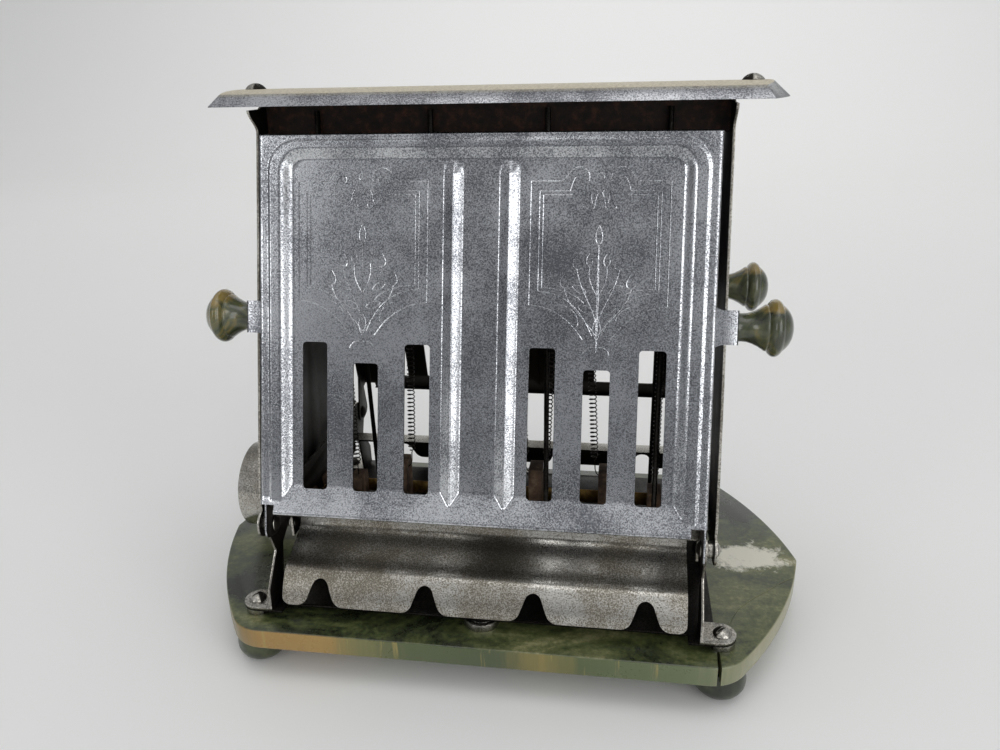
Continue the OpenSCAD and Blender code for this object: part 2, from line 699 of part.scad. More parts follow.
module knob_screws() {
  color("gray") mirror_x() on_door() translate([knob_x, knob_v, -knob_back]) rotate([0, 90, 0]) {
    translate([0, 0, -strap_t]) cylinder(h = strap_t + knob_screw_in - 1, d = screw_d);
    translate([0, 0, -strap_t]) rotate([180, 0, 0]) dome(screw_head_d - 1, screw_head_h - 0.6);
  }
}

// Element: a coiled wire strung in zigzag between insulators on an upper rail and on the bottom plate
rail_top = rim_z + 1.4;
rail_drop = 13;
rail_in = panel_x - sheet;
rail_rivet_y = rail_w / 2 - 4.5;
rail_rivet_z = rail_top - 6;
module upper_rail() {
  color("saddlebrown") difference() {
    union() {
      difference() {
        translate([-rail_in, -rail_w / 2, rail_top - rail_drop]) cube([2 * rail_in, rail_w, rail_drop]);
        translate([-rail_in - past, -rail_w / 2 + sheet, rail_top - rail_drop - past])
          cube([2 * rail_in + 2 * past, rail_w - 2 * sheet, rail_drop + past - sheet]);
      }
      mirror_x() translate([rail_in - sheet, -rail_w / 2, rail_top - rail_drop])
        cube([sheet, rail_w, rail_drop]);
    }
    for (y = [-rail_rivet_y, rail_rivet_y], x = [-rail_in - past, rail_in - past - sheet])
      rod_x(x, x + 2 * past + sheet, rivet_d + 2 * hole_gap, y, rail_rivet_z);
  }
}
module rail_rivets() {
  color("gray") mirror_x() for (y = [-rail_rivet_y, rail_rivet_y])
    rivet(rail_in - sheet, panel_x, y, rail_rivet_z);
}
post_w = 5.6;
post_d = 10;
hook_high_z = rim_z - hook_drop;
hook_top_x = [-2 * hook_pitch - 2, -hook_pitch, 0, hook_pitch, 2 * hook_pitch + 2];
hook_low_x = [-1.5 * hook_pitch, -0.5 * hook_pitch, 0.5 * hook_pitch, 1.5 * hook_pitch];
end_x = 2 * hook_pitch + 6;
end_top = hook_low_z - 5;
hook_bore = wire_d + 0.7;
module upper_insulators() {
  top = rail_top - sheet;
  color("linen") for (x = hook_top_x) difference() {
    translate([x - post_w / 2, -post_d / 2, hook_high_z - 3.5])
      cube([post_w, post_d, top - hook_high_z + 3.5]);
    rod_x(x - post_w, x + post_w, hook_bore, 0, hook_high_z);
  }
}
module lower_insulators() {
  color("linen") {
    for (x = hook_low_x) difference() {
      translate([x - post_w / 2, -post_d / 2, plate_top])
        cube([post_w, post_d, hook_low_z + 3.5 - plate_top]);
      rod_x(x - post_w, x + post_w, hook_bore, 0, hook_low_z);
    }
    mirror_x() difference() {
      translate([end_x - post_w / 2, -post_d / 2, plate_top]) cube([post_w, post_d, end_top - plate_top]);
      translate([end_x, 0, end_top - 8]) cylinder(h = 8 + past, d = hook_bore);
    }
  }
}

// Route of the wire: from one end insulator, up and down between the hooks, to the other
bend = post_w / 2 + 1.6;
curl_r = (coil_d - wire_d) / 2;
function hook_turn(x, z, s) = [[x - bend, 0, z - s * 3], [x - bend + 0.5, 0, z - s * 1.2],
  [x - bend + 1.6, 0, z], [x + bend - 1.6, 0, z], [x + bend - 0.5, 0, z - s * 1.2], [x + bend, 0, z - s * 3]];
// A run of curls between a and b, straight near both ends, in the number of rings that 8 to a curl give
function run(a, b) = let (
  n = curls * 8, dir = unit(b - a), lead = 5, len_c = norm(b - a) - 2 * lead,
  across = unit([dir[2], 0, -dir[0]]))
  [for (i = [0:n]) let (
    t = i / n, grow = min(1, min(i, n - i) / 4),
    angle = 360 * curls * t)
    a + dir * (lead + len_c * t) + grow * curl_r * (across * cos(angle) + [0, 1, 0] * sin(angle))];
hooks = [for (i = [0:8])
  i % 2 == 0 ? [hook_top_x[i / 2], hook_high_z, 1] : [hook_low_x[(i - 1) / 2], hook_low_z, -1]];
function hook_in(h) = [h[0] - bend, 0, h[1] - h[2] * 3];
function hook_out(h) = [h[0] + bend, 0, h[1] - h[2] * 3];
first_point = [-end_x, 0, end_top - 6];
last_point = [end_x, 0, end_top - 6];
wire_route = concat([first_point, first_point + [0, 0, 7]],
  run(first_point + [0, 0, 7], hook_in(hooks[0])),
  [for (i = [0:8]) each concat(hook_turn(hooks[i][0], hooks[i][1], hooks[i][2]),
    i < 8 ? run(hook_out(hooks[i]), hook_in(hooks[i + 1]))
      : run(hook_out(hooks[8]), last_point + [0, 0, 7]))],
  [last_point + [0, 0, 7], last_point]);
function apart(points, i) = min([for (j = [i + 6:min(len(points) - 1, i + 30)]) norm(points[j] - points[i])]);
coil_gap = min([for (i = [0:len(wire_route) - 7]) apart(wire_route, i)]) - wire_d;
wire_sides = 6;
// A tube along the route: each ring lies across the route at its point
module tube(points, d, sides) {
  n = len(points);
  function along(i) = unit(points[min(n - 1, i + 1)] - points[max(0, i - 1)]);
  rings = [for (i = [0:n - 1]) let (
    u = along(i), v = unit(cross(u, [0, 1, 0]) + [0.001, 0, 0]), w = cross(u, v))
    each [for (k = [0:sides - 1]) points[i] + d / 2 * (v * cos(360 * k / sides) + w * sin(360 * k / sides))]];
  polyhedron(rings, concat(
    [for (i = [0:n - 2], k = [0:sides - 1]) let (a = i * sides + k, b = i * sides + (k + 1) % sides)
      each [[a, b + sides, b], [a, a + sides, b + sides]]],
    [for (k = [1:sides - 2]) [0, k, k + 1]],
    [for (k = [1:sides - 2]) let (s = (n - 1) * sides) [s, s + k + 1, s + k]]));
}
module heating_coil() {
  echo(coil_gap = coil_gap);
  color("dimgray") tube(wire_route, wire_d, wire_sides);
}

// Bread guards: upright wires in front of the element, joined by one wire along their feet
guard_top_y = rail_w / 2 + guard_d / 2 + 0.1;
guard_foot_y = guard_top_y + 14;
guard_top_z = rail_top - 4;
guard_foot_z = plate_top + 1.2 + guard_d / 2;
module bread_guard() {
  fall = guard_foot_y - guard_top_y;
  rise = guard_top_z - guard_foot_z;
  color("gray") {
    for (k = [-1.5:1:1.5]) translate([k * guard_pitch, -guard_foot_y, guard_foot_z])
      rotate([-atan2(fall, rise), 0, 0]) cylinder(h = norm([fall, rise]), d = guard_d);
    rod_x(-1.5 * guard_pitch - 6, 1.5 * guard_pitch + 6, guard_d, -guard_foot_y, guard_foot_z);
    for (k = [-1.5, 1.5]) translate([k * guard_pitch, -guard_foot_y, plate_top])
      cylinder(h = guard_foot_z - plate_top, d = guard_d);
  }
}

// Plug socket: a guard round two pins that seat on insulating bushes in the left end panel
bush_d = 9;
shank_d = 3.6;
bush_collar_d = 12;
bush_collar_t = 2;
pin_tip_x = -panel_x - pin_l;
pin_tail_x = -panel_x + 14;
nut_d = 7.6;
nut_t = 3;
nut_x = -panel_x + sheet + bush_collar_t;
module plug_guard() {
  color("silver") difference() {
    union() {
      rod_x(-panel_x - plug_l, -panel_x, plug_d, 0, pin_z);
      rod_x(-panel_x - sheet, -panel_x, plug_d + 3, 0, pin_z);
    }
    rod_x(-panel_x - plug_l - past, -panel_x + past, plug_d - 2 * sheet, 0, pin_z);
    translate([-panel_x - plug_l - past, -plug_d, 0]) cube([plug_l + 2 * past, 2 * plug_d, plate_top + 0.2]);
  }
}
module at_pins() { for (y = [-pin_pitch / 2, pin_pitch / 2]) translate([0, y, 0]) children(); }
module terminal_pins() {
  color("tan") at_pins() {
    rod_x(pin_tip_x + pin_d / 2, -panel_x - bush_collar_t, pin_d, 0, pin_z);
    rod_x(-panel_x - bush_collar_t - past, pin_tail_x, shank_d, 0, pin_z);
    translate([pin_tip_x + pin_d / 2, 0, pin_z]) sphere(d = pin_d);
  }
}
module pin_bushes() {
  color("linen") at_pins() difference() {
    union() {
      rod_x(-panel_x - bush_collar_t, -panel_x, bush_collar_d, 0, pin_z);
      rod_x(-panel_x, nut_x, bush_d, 0, pin_z);
    }
    rod_x(-panel_x - 2 * past - bush_collar_t, nut_x + past, shank_d + 2 * hole_gap, 0, pin_z);
  }
}
module terminal_nuts() {
  color("tan") at_pins() difference() {
    translate([nut_x, 0, pin_z]) rotate([0, 90, 0]) cylinder(h = nut_t, d = nut_d, $fn = 6);
    rod_x(nut_x - past, nut_x + nut_t + past, shank_d + 2 * hole_gap, 0, pin_z);
  }
}
strap_h = 6;
lug_w = 8;
lug_x = nut_x + nut_t;
strip_t = 0.8;
// Flat strips from the pins to the two ends of the coil
module lug(y) {
  difference() {
    translate([lug_x, y - lug_w / 2, pin_z - lug_w / 2]) cube([strip_t, lug_w, lug_w]);
    rod_x(lug_x - past, lug_x + strip_t + past, shank_d + 2 * hole_gap, y, pin_z);
  }
}
module lead_strap() {
  y = -pin_pitch / 2;
  color("tan") {
    lug(y);
    translate([lug_x, y + lug_w / 2 - strip_t, pin_z - lug_w / 2])
      cube([-end_x + post_w / 2 - lug_x, strip_t, strap_h]);
  }
}
module bus_bar() {
  y = pin_pitch / 2;
  color("tan") {
    lug(y);
    translate([lug_x, y - lug_w / 2, pin_z - lug_w / 2])
      cube([end_x + post_w / 2 - lug_x, strip_t, strap_h]);
  }
}

base_plate();
foot(-1, -1);  // foot_front_left
foot(1, -1);  // foot_front_right
foot(-1, 1);  // foot_rear_left
foot(1, 1);  // foot_rear_right
base_screws();
corner_spacers();
centre_washers();
bottom_plate();
mirror([1, 0, 0]) leg_bracket();  // leg_bracket_left
leg_bracket();  // leg_bracket_right
end_panel_left();
end_panel_right();
panel_rivets();
top_plate();
top_screws();
apron();  // apron_front
rear() apron();  // apron_rear
apron_rivets();
door_front();
door_rear();
color("olive") knob_left();  // knob_front_left
color("olive") knob();  // knob_front_right
color("olive") rear() knob();  // knob_rear_left
color("olive") rear() knob_left();  // knob_rear_right
knob_screws();  // knob_screws_front
rear() knob_screws();  // knob_screws_rear
mirror([1, 0, 0]) hinge_pin();  // hinge_pin_front_left
hinge_pin();  // hinge_pin_front_right
rear() hinge_pin();  // hinge_pin_rear_left
rear() mirror([1, 0, 0]) hinge_pin();  // hinge_pin_rear_right
upper_rail();
rail_rivets();
upper_insulators();
lower_insulators();
heating_coil();
bread_guard();  // bread_guard_front
rear() bread_guard();  // bread_guard_rear
plug_guard();
terminal_pins();
pin_bushes();
terminal_nuts();
lead_strap();
bus_bar();
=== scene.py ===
import json
import math

import bmesh
import bpy
from mathutils import Matrix, Vector
from mathutils.geometry import interpolate_bezier


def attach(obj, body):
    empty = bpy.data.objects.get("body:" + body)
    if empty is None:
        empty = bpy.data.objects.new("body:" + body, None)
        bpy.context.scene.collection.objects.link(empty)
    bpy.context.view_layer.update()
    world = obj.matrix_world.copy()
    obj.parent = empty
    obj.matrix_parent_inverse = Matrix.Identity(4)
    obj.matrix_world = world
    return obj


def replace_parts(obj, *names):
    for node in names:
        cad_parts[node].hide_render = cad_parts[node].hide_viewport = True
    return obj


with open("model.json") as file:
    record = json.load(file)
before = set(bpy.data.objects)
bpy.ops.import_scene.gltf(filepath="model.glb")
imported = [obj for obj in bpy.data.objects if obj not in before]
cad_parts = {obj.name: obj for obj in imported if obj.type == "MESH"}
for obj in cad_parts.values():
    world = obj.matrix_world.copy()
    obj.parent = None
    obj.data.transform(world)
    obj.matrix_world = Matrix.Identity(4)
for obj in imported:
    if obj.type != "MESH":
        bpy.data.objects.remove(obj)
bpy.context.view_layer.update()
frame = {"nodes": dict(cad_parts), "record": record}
MM = 0.001

# THE BASE
# A slab of cast phenolic resin, poured green with amber let into it, sawn, ground flat and polished.
# The marbling runs right through, so the sawn edge shows it in section, brighter than the worn top.


def linear(code):
    """The linear colour of an sRGB hex code such as #a38747."""
    parts = [int(code[i : i + 2], 16) / 255 for i in (1, 3, 5)]
    return (*[p / 12.92 if p <= 0.04045 else ((p + 0.055) / 1.055) ** 2.4 for p in parts], 1.0)


def new_material(name):
    """An empty node material, and its shader."""
    material = bpy.data.materials.new(name)
    material.use_nodes = True
    return material, material.node_tree.nodes["Principled BSDF"]


def add(material, kind, links=None, stops=None, out=0, **settings):
    """Adds one node to a material, sets its values and stops, fills or links its inputs, gives an output."""
    made = material.node_tree.nodes.new(kind)
    for name, value in settings.items():
        setattr(made, name, value)
    fill(material, made, links or {})
    for i, (place, colour) in enumerate(stops or []):
        stop = made.color_ramp.elements[i] if i < 2 else made.color_ramp.elements.new(place)
        stop.position = place
        stop.color = linear(colour) if isinstance(colour, str) else (colour, colour, colour, 1.0)
    return made.outputs[out]


def fill(material, node, values):
    """Fills or links the inputs of a node."""
    for name, value in values.items():
        if isinstance(value, bpy.types.NodeSocket):
            material.node_tree.links.new(value, node.inputs[name])
        else:
            node.inputs[name].default_value = value


def place_object(name, bm, material, body="frame", sharp=35):
    """An object from a bmesh: smooth but for its sharp edges, with its material, riding on its body."""
    bmesh.ops.recalc_face_normals(bm, faces=bm.faces)
    for f in bm.faces:
        f.smooth = True
    for e in bm.edges:
        e.smooth = len(e.link_faces) == 2 and e.calc_face_angle(0) < math.radians(sharp)
    mesh = bpy.data.meshes.new(name)
    bm.to_mesh(mesh)
    bm.free()
    mesh.materials.append(material)
    o = bpy.data.objects.new(name, mesh)
    bpy.context.scene.collection.objects.link(o)
    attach(o, body)
    return o


def cut(bm, cutter):
    """The first mesh less the second."""
    objects = []
    for part in (bm, cutter):
        mesh = bpy.data.meshes.new("work")
        part.to_mesh(mesh)
        part.free()
        objects.append(bpy.data.objects.new("work", mesh))
        bpy.context.scene.collection.objects.link(objects[-1])
    m = objects[0].modifiers.new("cut", "BOOLEAN")
    m.object, m.solver, m.operation = objects[1], "EXACT", "DIFFERENCE"
    result = bmesh.new()
    result.from_mesh(objects[0].evaluated_get(bpy.context.evaluated_depsgraph_get()).to_mesh())
    for o in objects:
        bpy.data.objects.remove(o)
    return result


def prism(bm, outline, low, high):
    """Adds a closed solid on a flat outline of x, y points, from height low to high, all in millimetres."""
    face = bm.faces.new([bm.verts.new((x * MM, y * MM, low * MM)) for x, y in outline])
    up = bmesh.ops.extrude_face_region(bm, geom=[face])["geom"]
    moved = [v for v in up if isinstance(v, bmesh.types.BMVert)]
    bmesh.ops.translate(bm, vec=(0, 0, (high - low) * MM), verts=moved)
    bmesh.ops.recalc_face_normals(bm, faces=bm.faces)


def arc(centre, radius, start, stop, steps):
    """Points of a circular arc, angles in degrees."""
    turns = [math.radians(start + (stop - start) * i / steps) for i in range(steps + 1)]
    return [(centre[0] + radius * math.cos(t), centre[1] + radius * math.sin(t)) for t in turns]


def tube(bm, points, radius, sides=6):
    """Adds a closed round tube along points, in millimetres."""
    rings, across = [], None
    for i, p in enumerate(points):
        along = (points[min(len(points) - 1, i + 1)] - points[max(0, i - 1)]).normalized()
        if across is None:
            across = along.orthogonal().normalized()
        else:
            across = (across - along * across.dot(along)).normalized()
        other = along.cross(across)
        turns = [2 * math.pi * k / sides for k in range(sides)]
        spots = [p + radius * (across * math.cos(t) + other * math.sin(t)) for t in turns]
        rings.append([bm.verts.new(spot * MM) for spot in spots])
    for a, b in zip(rings, rings[1:]):
        for k in range(sides):
            bm.faces.new((a[k], a[(k + 1) % sides], b[(k + 1) % sides], b[k]))
    bm.faces.new(rings[0][::-1])
    bm.faces.new(rings[-1])


# Outline: four shallow arcs, two to an end, that meet in a point there; the corners are rounded
HALF_L, HALF_W = 128, 75
STRAIGHT_HALF = 93
END_R, CORNER_R = 170, 16
BASE_LOW, BASE_TOP = 12.9, 21.2
run = HALF_L - STRAIGHT_HALF
end_dir = math.atan2(HALF_W, -run) - math.pi / 2
reach = math.sqrt(END_R**2 - (run**2 + HALF_W**2) / 4)
end_x = (HALF_L + STRAIGHT_HALF) / 2 - reach * math.cos(end_dir)
end_y = HALF_W / 2 - reach * math.sin(end_dir)
corner_y = HALF_W - CORNER_R
corner_x = end_x + math.sqrt((END_R - CORNER_R) ** 2 - (corner_y - end_y) ** 2)
to_corner = math.degrees(math.atan2(corner_y - end_y, corner_x - end_x))
quarter = arc((end_x, end_y), END_R, math.degrees(math.asin(-end_y / END_R)), to_corner, 30)[:-1]
quarter += arc((corner_x, corner_y), CORNER_R, to_corner, 90, 14)
half = quarter + [(-x, y) for x, y in quarter[::-1]]
slab = bmesh.new()
prism(slab, half + [(x, -y) for x, y in half[-2:0:-1]], BASE_LOW, BASE_TOP)
rims = [e for e in slab.edges if abs(e.verts[0].co.z - e.verts[1].co.z) < 1e-6]
bmesh.ops.bevel(slab, geom=rims, offset=0.7 * MM, segments=3, profile=0.5, affect="EDGES", material=-1)

# Screw holes, the open crack beside the front right screw, and the hairline crack that curves away from it
SCREW_X, SCREW_Y, CENTRE_SCREW_Y = 90.5, 61, 58.5
HOLE_R = 1.85
holes = bmesh.new()
places = [(sx * SCREW_X, sy * SCREW_Y) for sx in (-1, 1) for sy in (-1, 1)]
for x, y in places + [(0, -CENTRE_SCREW_Y), (0, CENTRE_SCREW_Y)]:
    prism(holes, arc((x, y), HOLE_R, 0, 345, 23), BASE_LOW - 3, BASE_TOP + 3)
crack = [(88.1, -80), (89.6, -80), (89.5, -72), (89.5, -67), (89.0, -63.4), (88.5, -67), (88.1, -72)]
prism(holes, crack, BASE_LOW - 3, BASE_TOP + 3)
hairline = [(93.2, -54), (95, -48), (97, -43.3), (99.4, -38.6), (104.5, -32.4), (111.1, -26)]
hairline += [(118, -19.3), (129, -9.6)]
tube(holes, [Vector((x, y, BASE_TOP + 0.05)) for x, y in hairline], 0.3)
slab = cut(slab, holes)

# Cast resin, polished and then handled: clouds 15 to 40 mm across under a soft gloss, and on the top face
# darkened and mottled with ground-in dirt, grains of about 2 mm
base_resin, shader = new_material("cast_resin_green_amber")
place = add(base_resin, "ShaderNodeTexCoord", out="Object")
drawn = add(base_resin, "ShaderNodeMapping", {"Vector": place, "Scale": (26, 40, 26)})
cloud = add(base_resin, "ShaderNodeTexNoise", {"Vector": drawn, "Scale": 1.0, "Detail": 6,
    "Roughness": 0.62, "Distortion": 0.8})
fine = add(base_resin, "ShaderNodeTexNoise", {"Vector": place, "Scale": 500.0, "Detail": 3,
    "Roughness": 0.7})
mottle = add(base_resin, "ShaderNodeMath", {0: fine, 1: 0.35, 2: cloud}, operation="MULTIPLY_ADD")
top = add(base_resin, "ShaderNodeValToRGB", {"Fac": mottle}, [
    (0.52, "#191c12"), (0.62, "#2b311f"), (0.70, "#424a2a"), (0.79, "#5c603c"), (0.90, "#83815c")])
# A scuffed patch near the right point, where the gloss is gone and the resin has turned whitish
off = add(base_resin, "ShaderNodeVectorMath", {0: place, 1: (-0.1075, 0.0005, -0.0212)}, operation="ADD")
turned = add(base_resin, "ShaderNodeVectorRotate", {"Vector": off, "Angle": -0.12}, rotation_type="Z_AXIS")
squeezed = add(base_resin, "ShaderNodeMapping", {"Vector": turned, "Scale": (38, 60, 60)})
patch = add(base_resin, "ShaderNodeTexGradient", {"Vector": squeezed}, gradient_type="SPHERICAL")
flecks = add(base_resin, "ShaderNodeTexNoise", {"Vector": place, "Scale": 170.0, "Detail": 7,
    "Roughness": 0.75})
scuff = add(base_resin, "ShaderNodeMath", {0: flecks, 1: 1.7, 2: patch}, operation="MULTIPLY_ADD")
scuffed = add(base_resin, "ShaderNodeMapRange", {"Value": scuff, "From Min": 1.18, "From Max": 1.42,
    "To Max": 0.9})
top = add(base_resin, "ShaderNodeMix", {0: scuffed, 6: top, 7: linear("#dedacb")}, out=2, data_type="RGBA")
# The sawn edge: blocks of amber and green along the length, as in the photograph, with upright streaks
across = add(base_resin, "ShaderNodeSeparateXYZ", {"Vector": place})
streak_at = add(base_resin, "ShaderNodeMapping", {"Vector": place, "Scale": (230, 230, 16)})
streak = add(base_resin, "ShaderNodeTexNoise", {"Vector": streak_at, "Scale": 1.0, "Detail": 5,
    "Roughness": 0.65})
along = add(base_resin, "ShaderNodeMapRange", {"Value": across, "From Min": -0.128, "From Max": 0.128})
moved = add(base_resin, "ShaderNodeMath", {0: streak, 1: 0.09, 2: along}, operation="MULTIPLY_ADD")
edge = add(base_resin, "ShaderNodeValToRGB", {"Fac": moved}, [
    (0.12, "#565b33"), (0.21, "#94743c"), (0.31, "#987a40"), (0.37, "#6e6c40"), (0.44, "#4c5634"),
    (0.58, "#434d30"), (0.64, "#7c703c"), (0.70, "#4d5733"), (0.86, "#5d6748"), (0.95, "#8b896a")])
vein = add(base_resin, "ShaderNodeValToRGB", {"Fac": streak}, [(0.60, 0.0), (0.66, 0.6)])
edge = add(base_resin, "ShaderNodeMix", {0: vein, 6: edge, 7: linear("#9a8a4e")}, out=2, data_type="RGBA")
facing = add(base_resin, "ShaderNodeNewGeometry", out="Normal")
upward = add(base_resin, "ShaderNodeSeparateXYZ", {"Vector": facing}, out="Z")
on_top = add(base_resin, "ShaderNodeMapRange", {"Value": upward, "From Min": 0.35, "From Max": 0.95})
colour = add(base_resin, "ShaderNodeMix", {0: on_top, 6: edge, 7: top}, out=2, data_type="RGBA")
dulled = add(base_resin, "ShaderNodeMapRange", {"Value": mottle, "From Min": 0.5, "From Max": 0.9,
    "To Min": 0.22, "To Max": 0.5})
relief = add(base_resin, "ShaderNodeBump", {"Height": fine, "Strength": 0.12, "Distance": 0.0004})
fill(base_resin, shader, {"Base Color": colour, "Roughness": dulled, "Normal": relief,
    "Coat Weight": 0.35, "Coat Roughness": 0.25, "Subsurface Weight": 0.05, "Subsurface Scale": 0.002})
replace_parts(place_object("base_slab", slab, base_resin), "base_plate")


# THE FEET
# Turned from the same resin, a darker pour, and polished; their undersides are dull from the table.


def copy_of(name, material, bevel=0.0, sharp=35):
    """A CAD node's mesh, merged and with its edges broken by a bevel in millimetres, in place of the node."""
    bm = bmesh.new()
    bm.from_mesh(frame["nodes"][name].data)
    bmesh.ops.remove_doubles(bm, verts=bm.verts, dist=1e-6)
    bmesh.ops.dissolve_limit(bm, angle_limit=math.radians(0.5), verts=bm.verts, edges=bm.edges)
    if bevel:
        edges = [e for e in bm.edges if len(e.link_faces) == 2 and e.calc_face_angle(0) > math.radians(40)]
        bmesh.ops.bevel(bm, geom=edges, offset=bevel * MM, segments=2, profile=0.5, affect="EDGES",
                        clamp_overlap=True, material=-1)
    body = next(b for b, held in frame["record"]["behaviour"]["bodies"].items() if name in held)
    o = place_object(name + "_shown", bm, material, body, sharp)
    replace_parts(o, name)
    return o


# The same resin, nearly black green, with clouds of about 10 mm and a soft gloss
foot_resin, shader = new_material("cast_resin_dark_green")
place = add(foot_resin, "ShaderNodeTexCoord", out="Object")
cloud = add(foot_resin, "ShaderNodeTexNoise", {"Vector": place, "Scale": 90.0, "Detail": 5,
    "Roughness": 0.6, "Distortion": 1.0})
colour = add(foot_resin, "ShaderNodeValToRGB", {"Fac": cloud}, [(0.35, "#191d14"), (0.55, "#2c3420"),
    (0.72, "#4a5230")])
dust = add(foot_resin, "ShaderNodeTexNoise", {"Vector": place, "Scale": 700.0, "Detail": 3})
dulled = add(foot_resin, "ShaderNodeMapRange", {"Value": dust, "To Min": 0.2, "To Max": 0.5})
fill(foot_resin, shader, {"Base Color": colour, "Roughness": dulled, "Coat Weight": 0.3,
    "Coat Roughness": 0.2})
for name in ("foot_front_left", "foot_front_right", "foot_rear_left", "foot_rear_right"):
    copy_of(name, foot_resin, 0, 50)


# THE STEEL FRAME
# Legs, cheeks, end panels and plug guard: mild steel sheet 0.9 mm thick, stamped and nickel plated.
# The plating still shines, but is pitted in clouds of dark specks 0.3 to 0.5 mm across, and every side that
# looks inwards is painted dark as shade.


def nickel(name, light, dark, pitting, gloss, tarnish="#8d8a84", inward_shade="#2a2724"):
    """Plated steel: bright and pitted tones, how pitted it is from 0 to 1, roughness, tarnish, and painted
    shade on inward sides.
    """
    material, shader = new_material(name)
    place = add(material, "ShaderNodeTexCoord", out="Object")
    facing = add(material, "ShaderNodeTexCoord", out="Normal")
    # Clouds of about 30 mm, and in them pits of 0.5 mm, a little coarser than the real ones so that they show
    clouds = add(material, "ShaderNodeTexNoise", {"Vector": place, "Scale": 34.0, "Detail": 6,
        "Roughness": 0.62})
    specks = add(material, "ShaderNodeTexNoise", {"Vector": place, "Scale": 1900.0, "Detail": 3,
        "Roughness": 0.7})
    near = add(material, "ShaderNodeMapRange", {"Value": clouds, "From Min": 0.34, "From Max": 0.68,
        "To Min": -0.06, "To Max": 0.13 * pitting})
    summed = add(material, "ShaderNodeMath", {0: specks, 1: near}, operation="ADD")
    pits = add(material, "ShaderNodeValToRGB", {"Fac": summed}, [(0.43, 0.0), (0.62, 0.95)])
    stain = add(material, "ShaderNodeValToRGB", {"Fac": clouds}, [(0.42, 0.0), (0.68, 0.8)])
    sheen = add(material, "ShaderNodeMix", {0: stain, 6: linear(light), 7: linear(tarnish)}, out=2,
        data_type="RGBA")
    plating = add(material, "ShaderNodeMix", {0: pits, 6: sheen, 7: linear(dark)}, out=2, data_type="RGBA")
    # Painted shade, dark, where the surface looks towards the upright line through the middle
    flat = add(material, "ShaderNodeVectorMath", {0: facing, 1: (1, 1, 0)}, operation="MULTIPLY")
    outward = add(material, "ShaderNodeVectorMath", {0: flat, 1: place}, operation="DOT_PRODUCT",
        out="Value")
    inner = add(material, "ShaderNodeMapRange", {"Value": outward, "From Min": -0.003, "From Max": -0.014})
    colour = add(material, "ShaderNodeMix", {0: inner, 6: plating, 7: linear(inward_shade)}, out=2,
        data_type="RGBA")
    worn = add(material, "ShaderNodeMath", {0: stain, 1: 0.12, 2: gloss}, operation="MULTIPLY_ADD")
    rough = add(material, "ShaderNodeMath", {0: pits, 1: 0.1, 2: worn}, operation="MULTIPLY_ADD")
    rough = add(material, "ShaderNodeMath", {0: inner, 1: 0.3, 2: rough}, operation="MULTIPLY_ADD")
    # The sheet is a little uneven, over about 40 mm
    wave = add(material, "ShaderNodeTexNoise", {"Vector": place, "Scale": 24.0, "Detail": 2,
        "Roughness": 0.4})
    dent = add(material, "ShaderNodeBump", {"Height": wave, "Strength": 0.2, "Distance": 0.0006})
    relief = add(material, "ShaderNodeBump", {"Height": pits, "Strength": 0.07, "Distance": -0.0001,
        "Normal": dent})
    fill(material, shader, {"Base Color": colour, "Metallic": 1.0, "Roughness": rough, "Normal": relief})
    return material


frame_steel = nickel("nickel_plate_dulled_frame", "#c4c1ba", "#6a665e", 0.8, 0.2, "#9a958a")
for name in ("leg_bracket_left", "leg_bracket_right", "end_panel_left", "end_panel_right", "plug_guard"):
    copy_of(name, frame_steel, 0.2)

# Screws, rivets and hinge pins: plated steel, scratched by screwdrivers and darker in the slots
plated_screws = nickel("plated_screws_worn", "#bab7af", "#6a675f", 0.5, 0.26)
fixings = ["base_screws", "top_screws", "knob_screws_front", "knob_screws_rear"]
fixings += ["panel_rivets", "apron_rivets", "rail_rivets"]
fixings += ["hinge_pin_" + corner for corner in ("front_left", "front_right", "rear_left", "rear_right")]
for name in fixings + ["corner_spacers", "centre_washers"]:
    copy_of(name, plated_screws, 0.12)

# THE APRONS
# Pressed from one sheet: a ledge under the door, a slope, then a rounded drop to a scalloped edge.
# How far each bend stands out, against its height above the foot
LINE = [(0, 67.4), (5, 65.7), (9.9, 62.8), (12.6, 60.0), (14.4, 55.4), (17.4, 49.3), (20.4, 43), (24.3, 41)]
APRON_LOW = 28.9
APRON_HALF = 77.3
APRON_END_R = 3
KNEE, LEDGE = 12.6, 24.3
LEDGE_IN, LEDGE_W = 41, 8
FRAME_SHEET = 0.9


def smooth(t):
    """0 to 1 with an easy start and stop."""
    t = min(1, max(0, t))
    return t * t * (3 - 2 * t)


def apron_y(rise):
    """How far out the apron stands at a height above its foot: a smooth curve through the bends."""
    k = max(i for i in range(len(LINE) - 1) if LINE[i][0] <= rise or i == 0)
    (a, p), (b, q) = LINE[k], LINE[k + 1]
    before, after = LINE[max(0, k - 1)], LINE[min(len(LINE) - 1, k + 2)]
    t, span = (rise - a) / (b - a), b - a
    m0, m1 = span * (q - before[1]) / (b - before[0]), span * (after[1] - p) / (after[0] - a)
    first = (2 * t**3 - 3 * t**2 + 1) * p + (t**3 - 2 * t**2 + t) * m0
    return first + (3 * t**2 - 2 * t**3) * q + (t**3 - t**2) * m1


# A cut-out: a round top, straight sides at 68 degrees, and a round flare where each side meets the edge
CUT_TOP, CUT_FLARE, CUT_SIDE, CUT_RISE = 3.4, 4.5, math.radians(68), 9.8
CUT_RUN = (CUT_RISE - (CUT_TOP + CUT_FLARE) * (1 - math.cos(CUT_SIDE))) / math.sin(CUT_SIDE)
CUT_HALF = (CUT_TOP + CUT_FLARE) * math.sin(CUT_SIDE) + CUT_RUN * math.cos(CUT_SIDE)
CUT_PITCH = 41.5
CUTS = [k * CUT_PITCH for k in (-1.5, -0.5, 0.5, 1.5)]


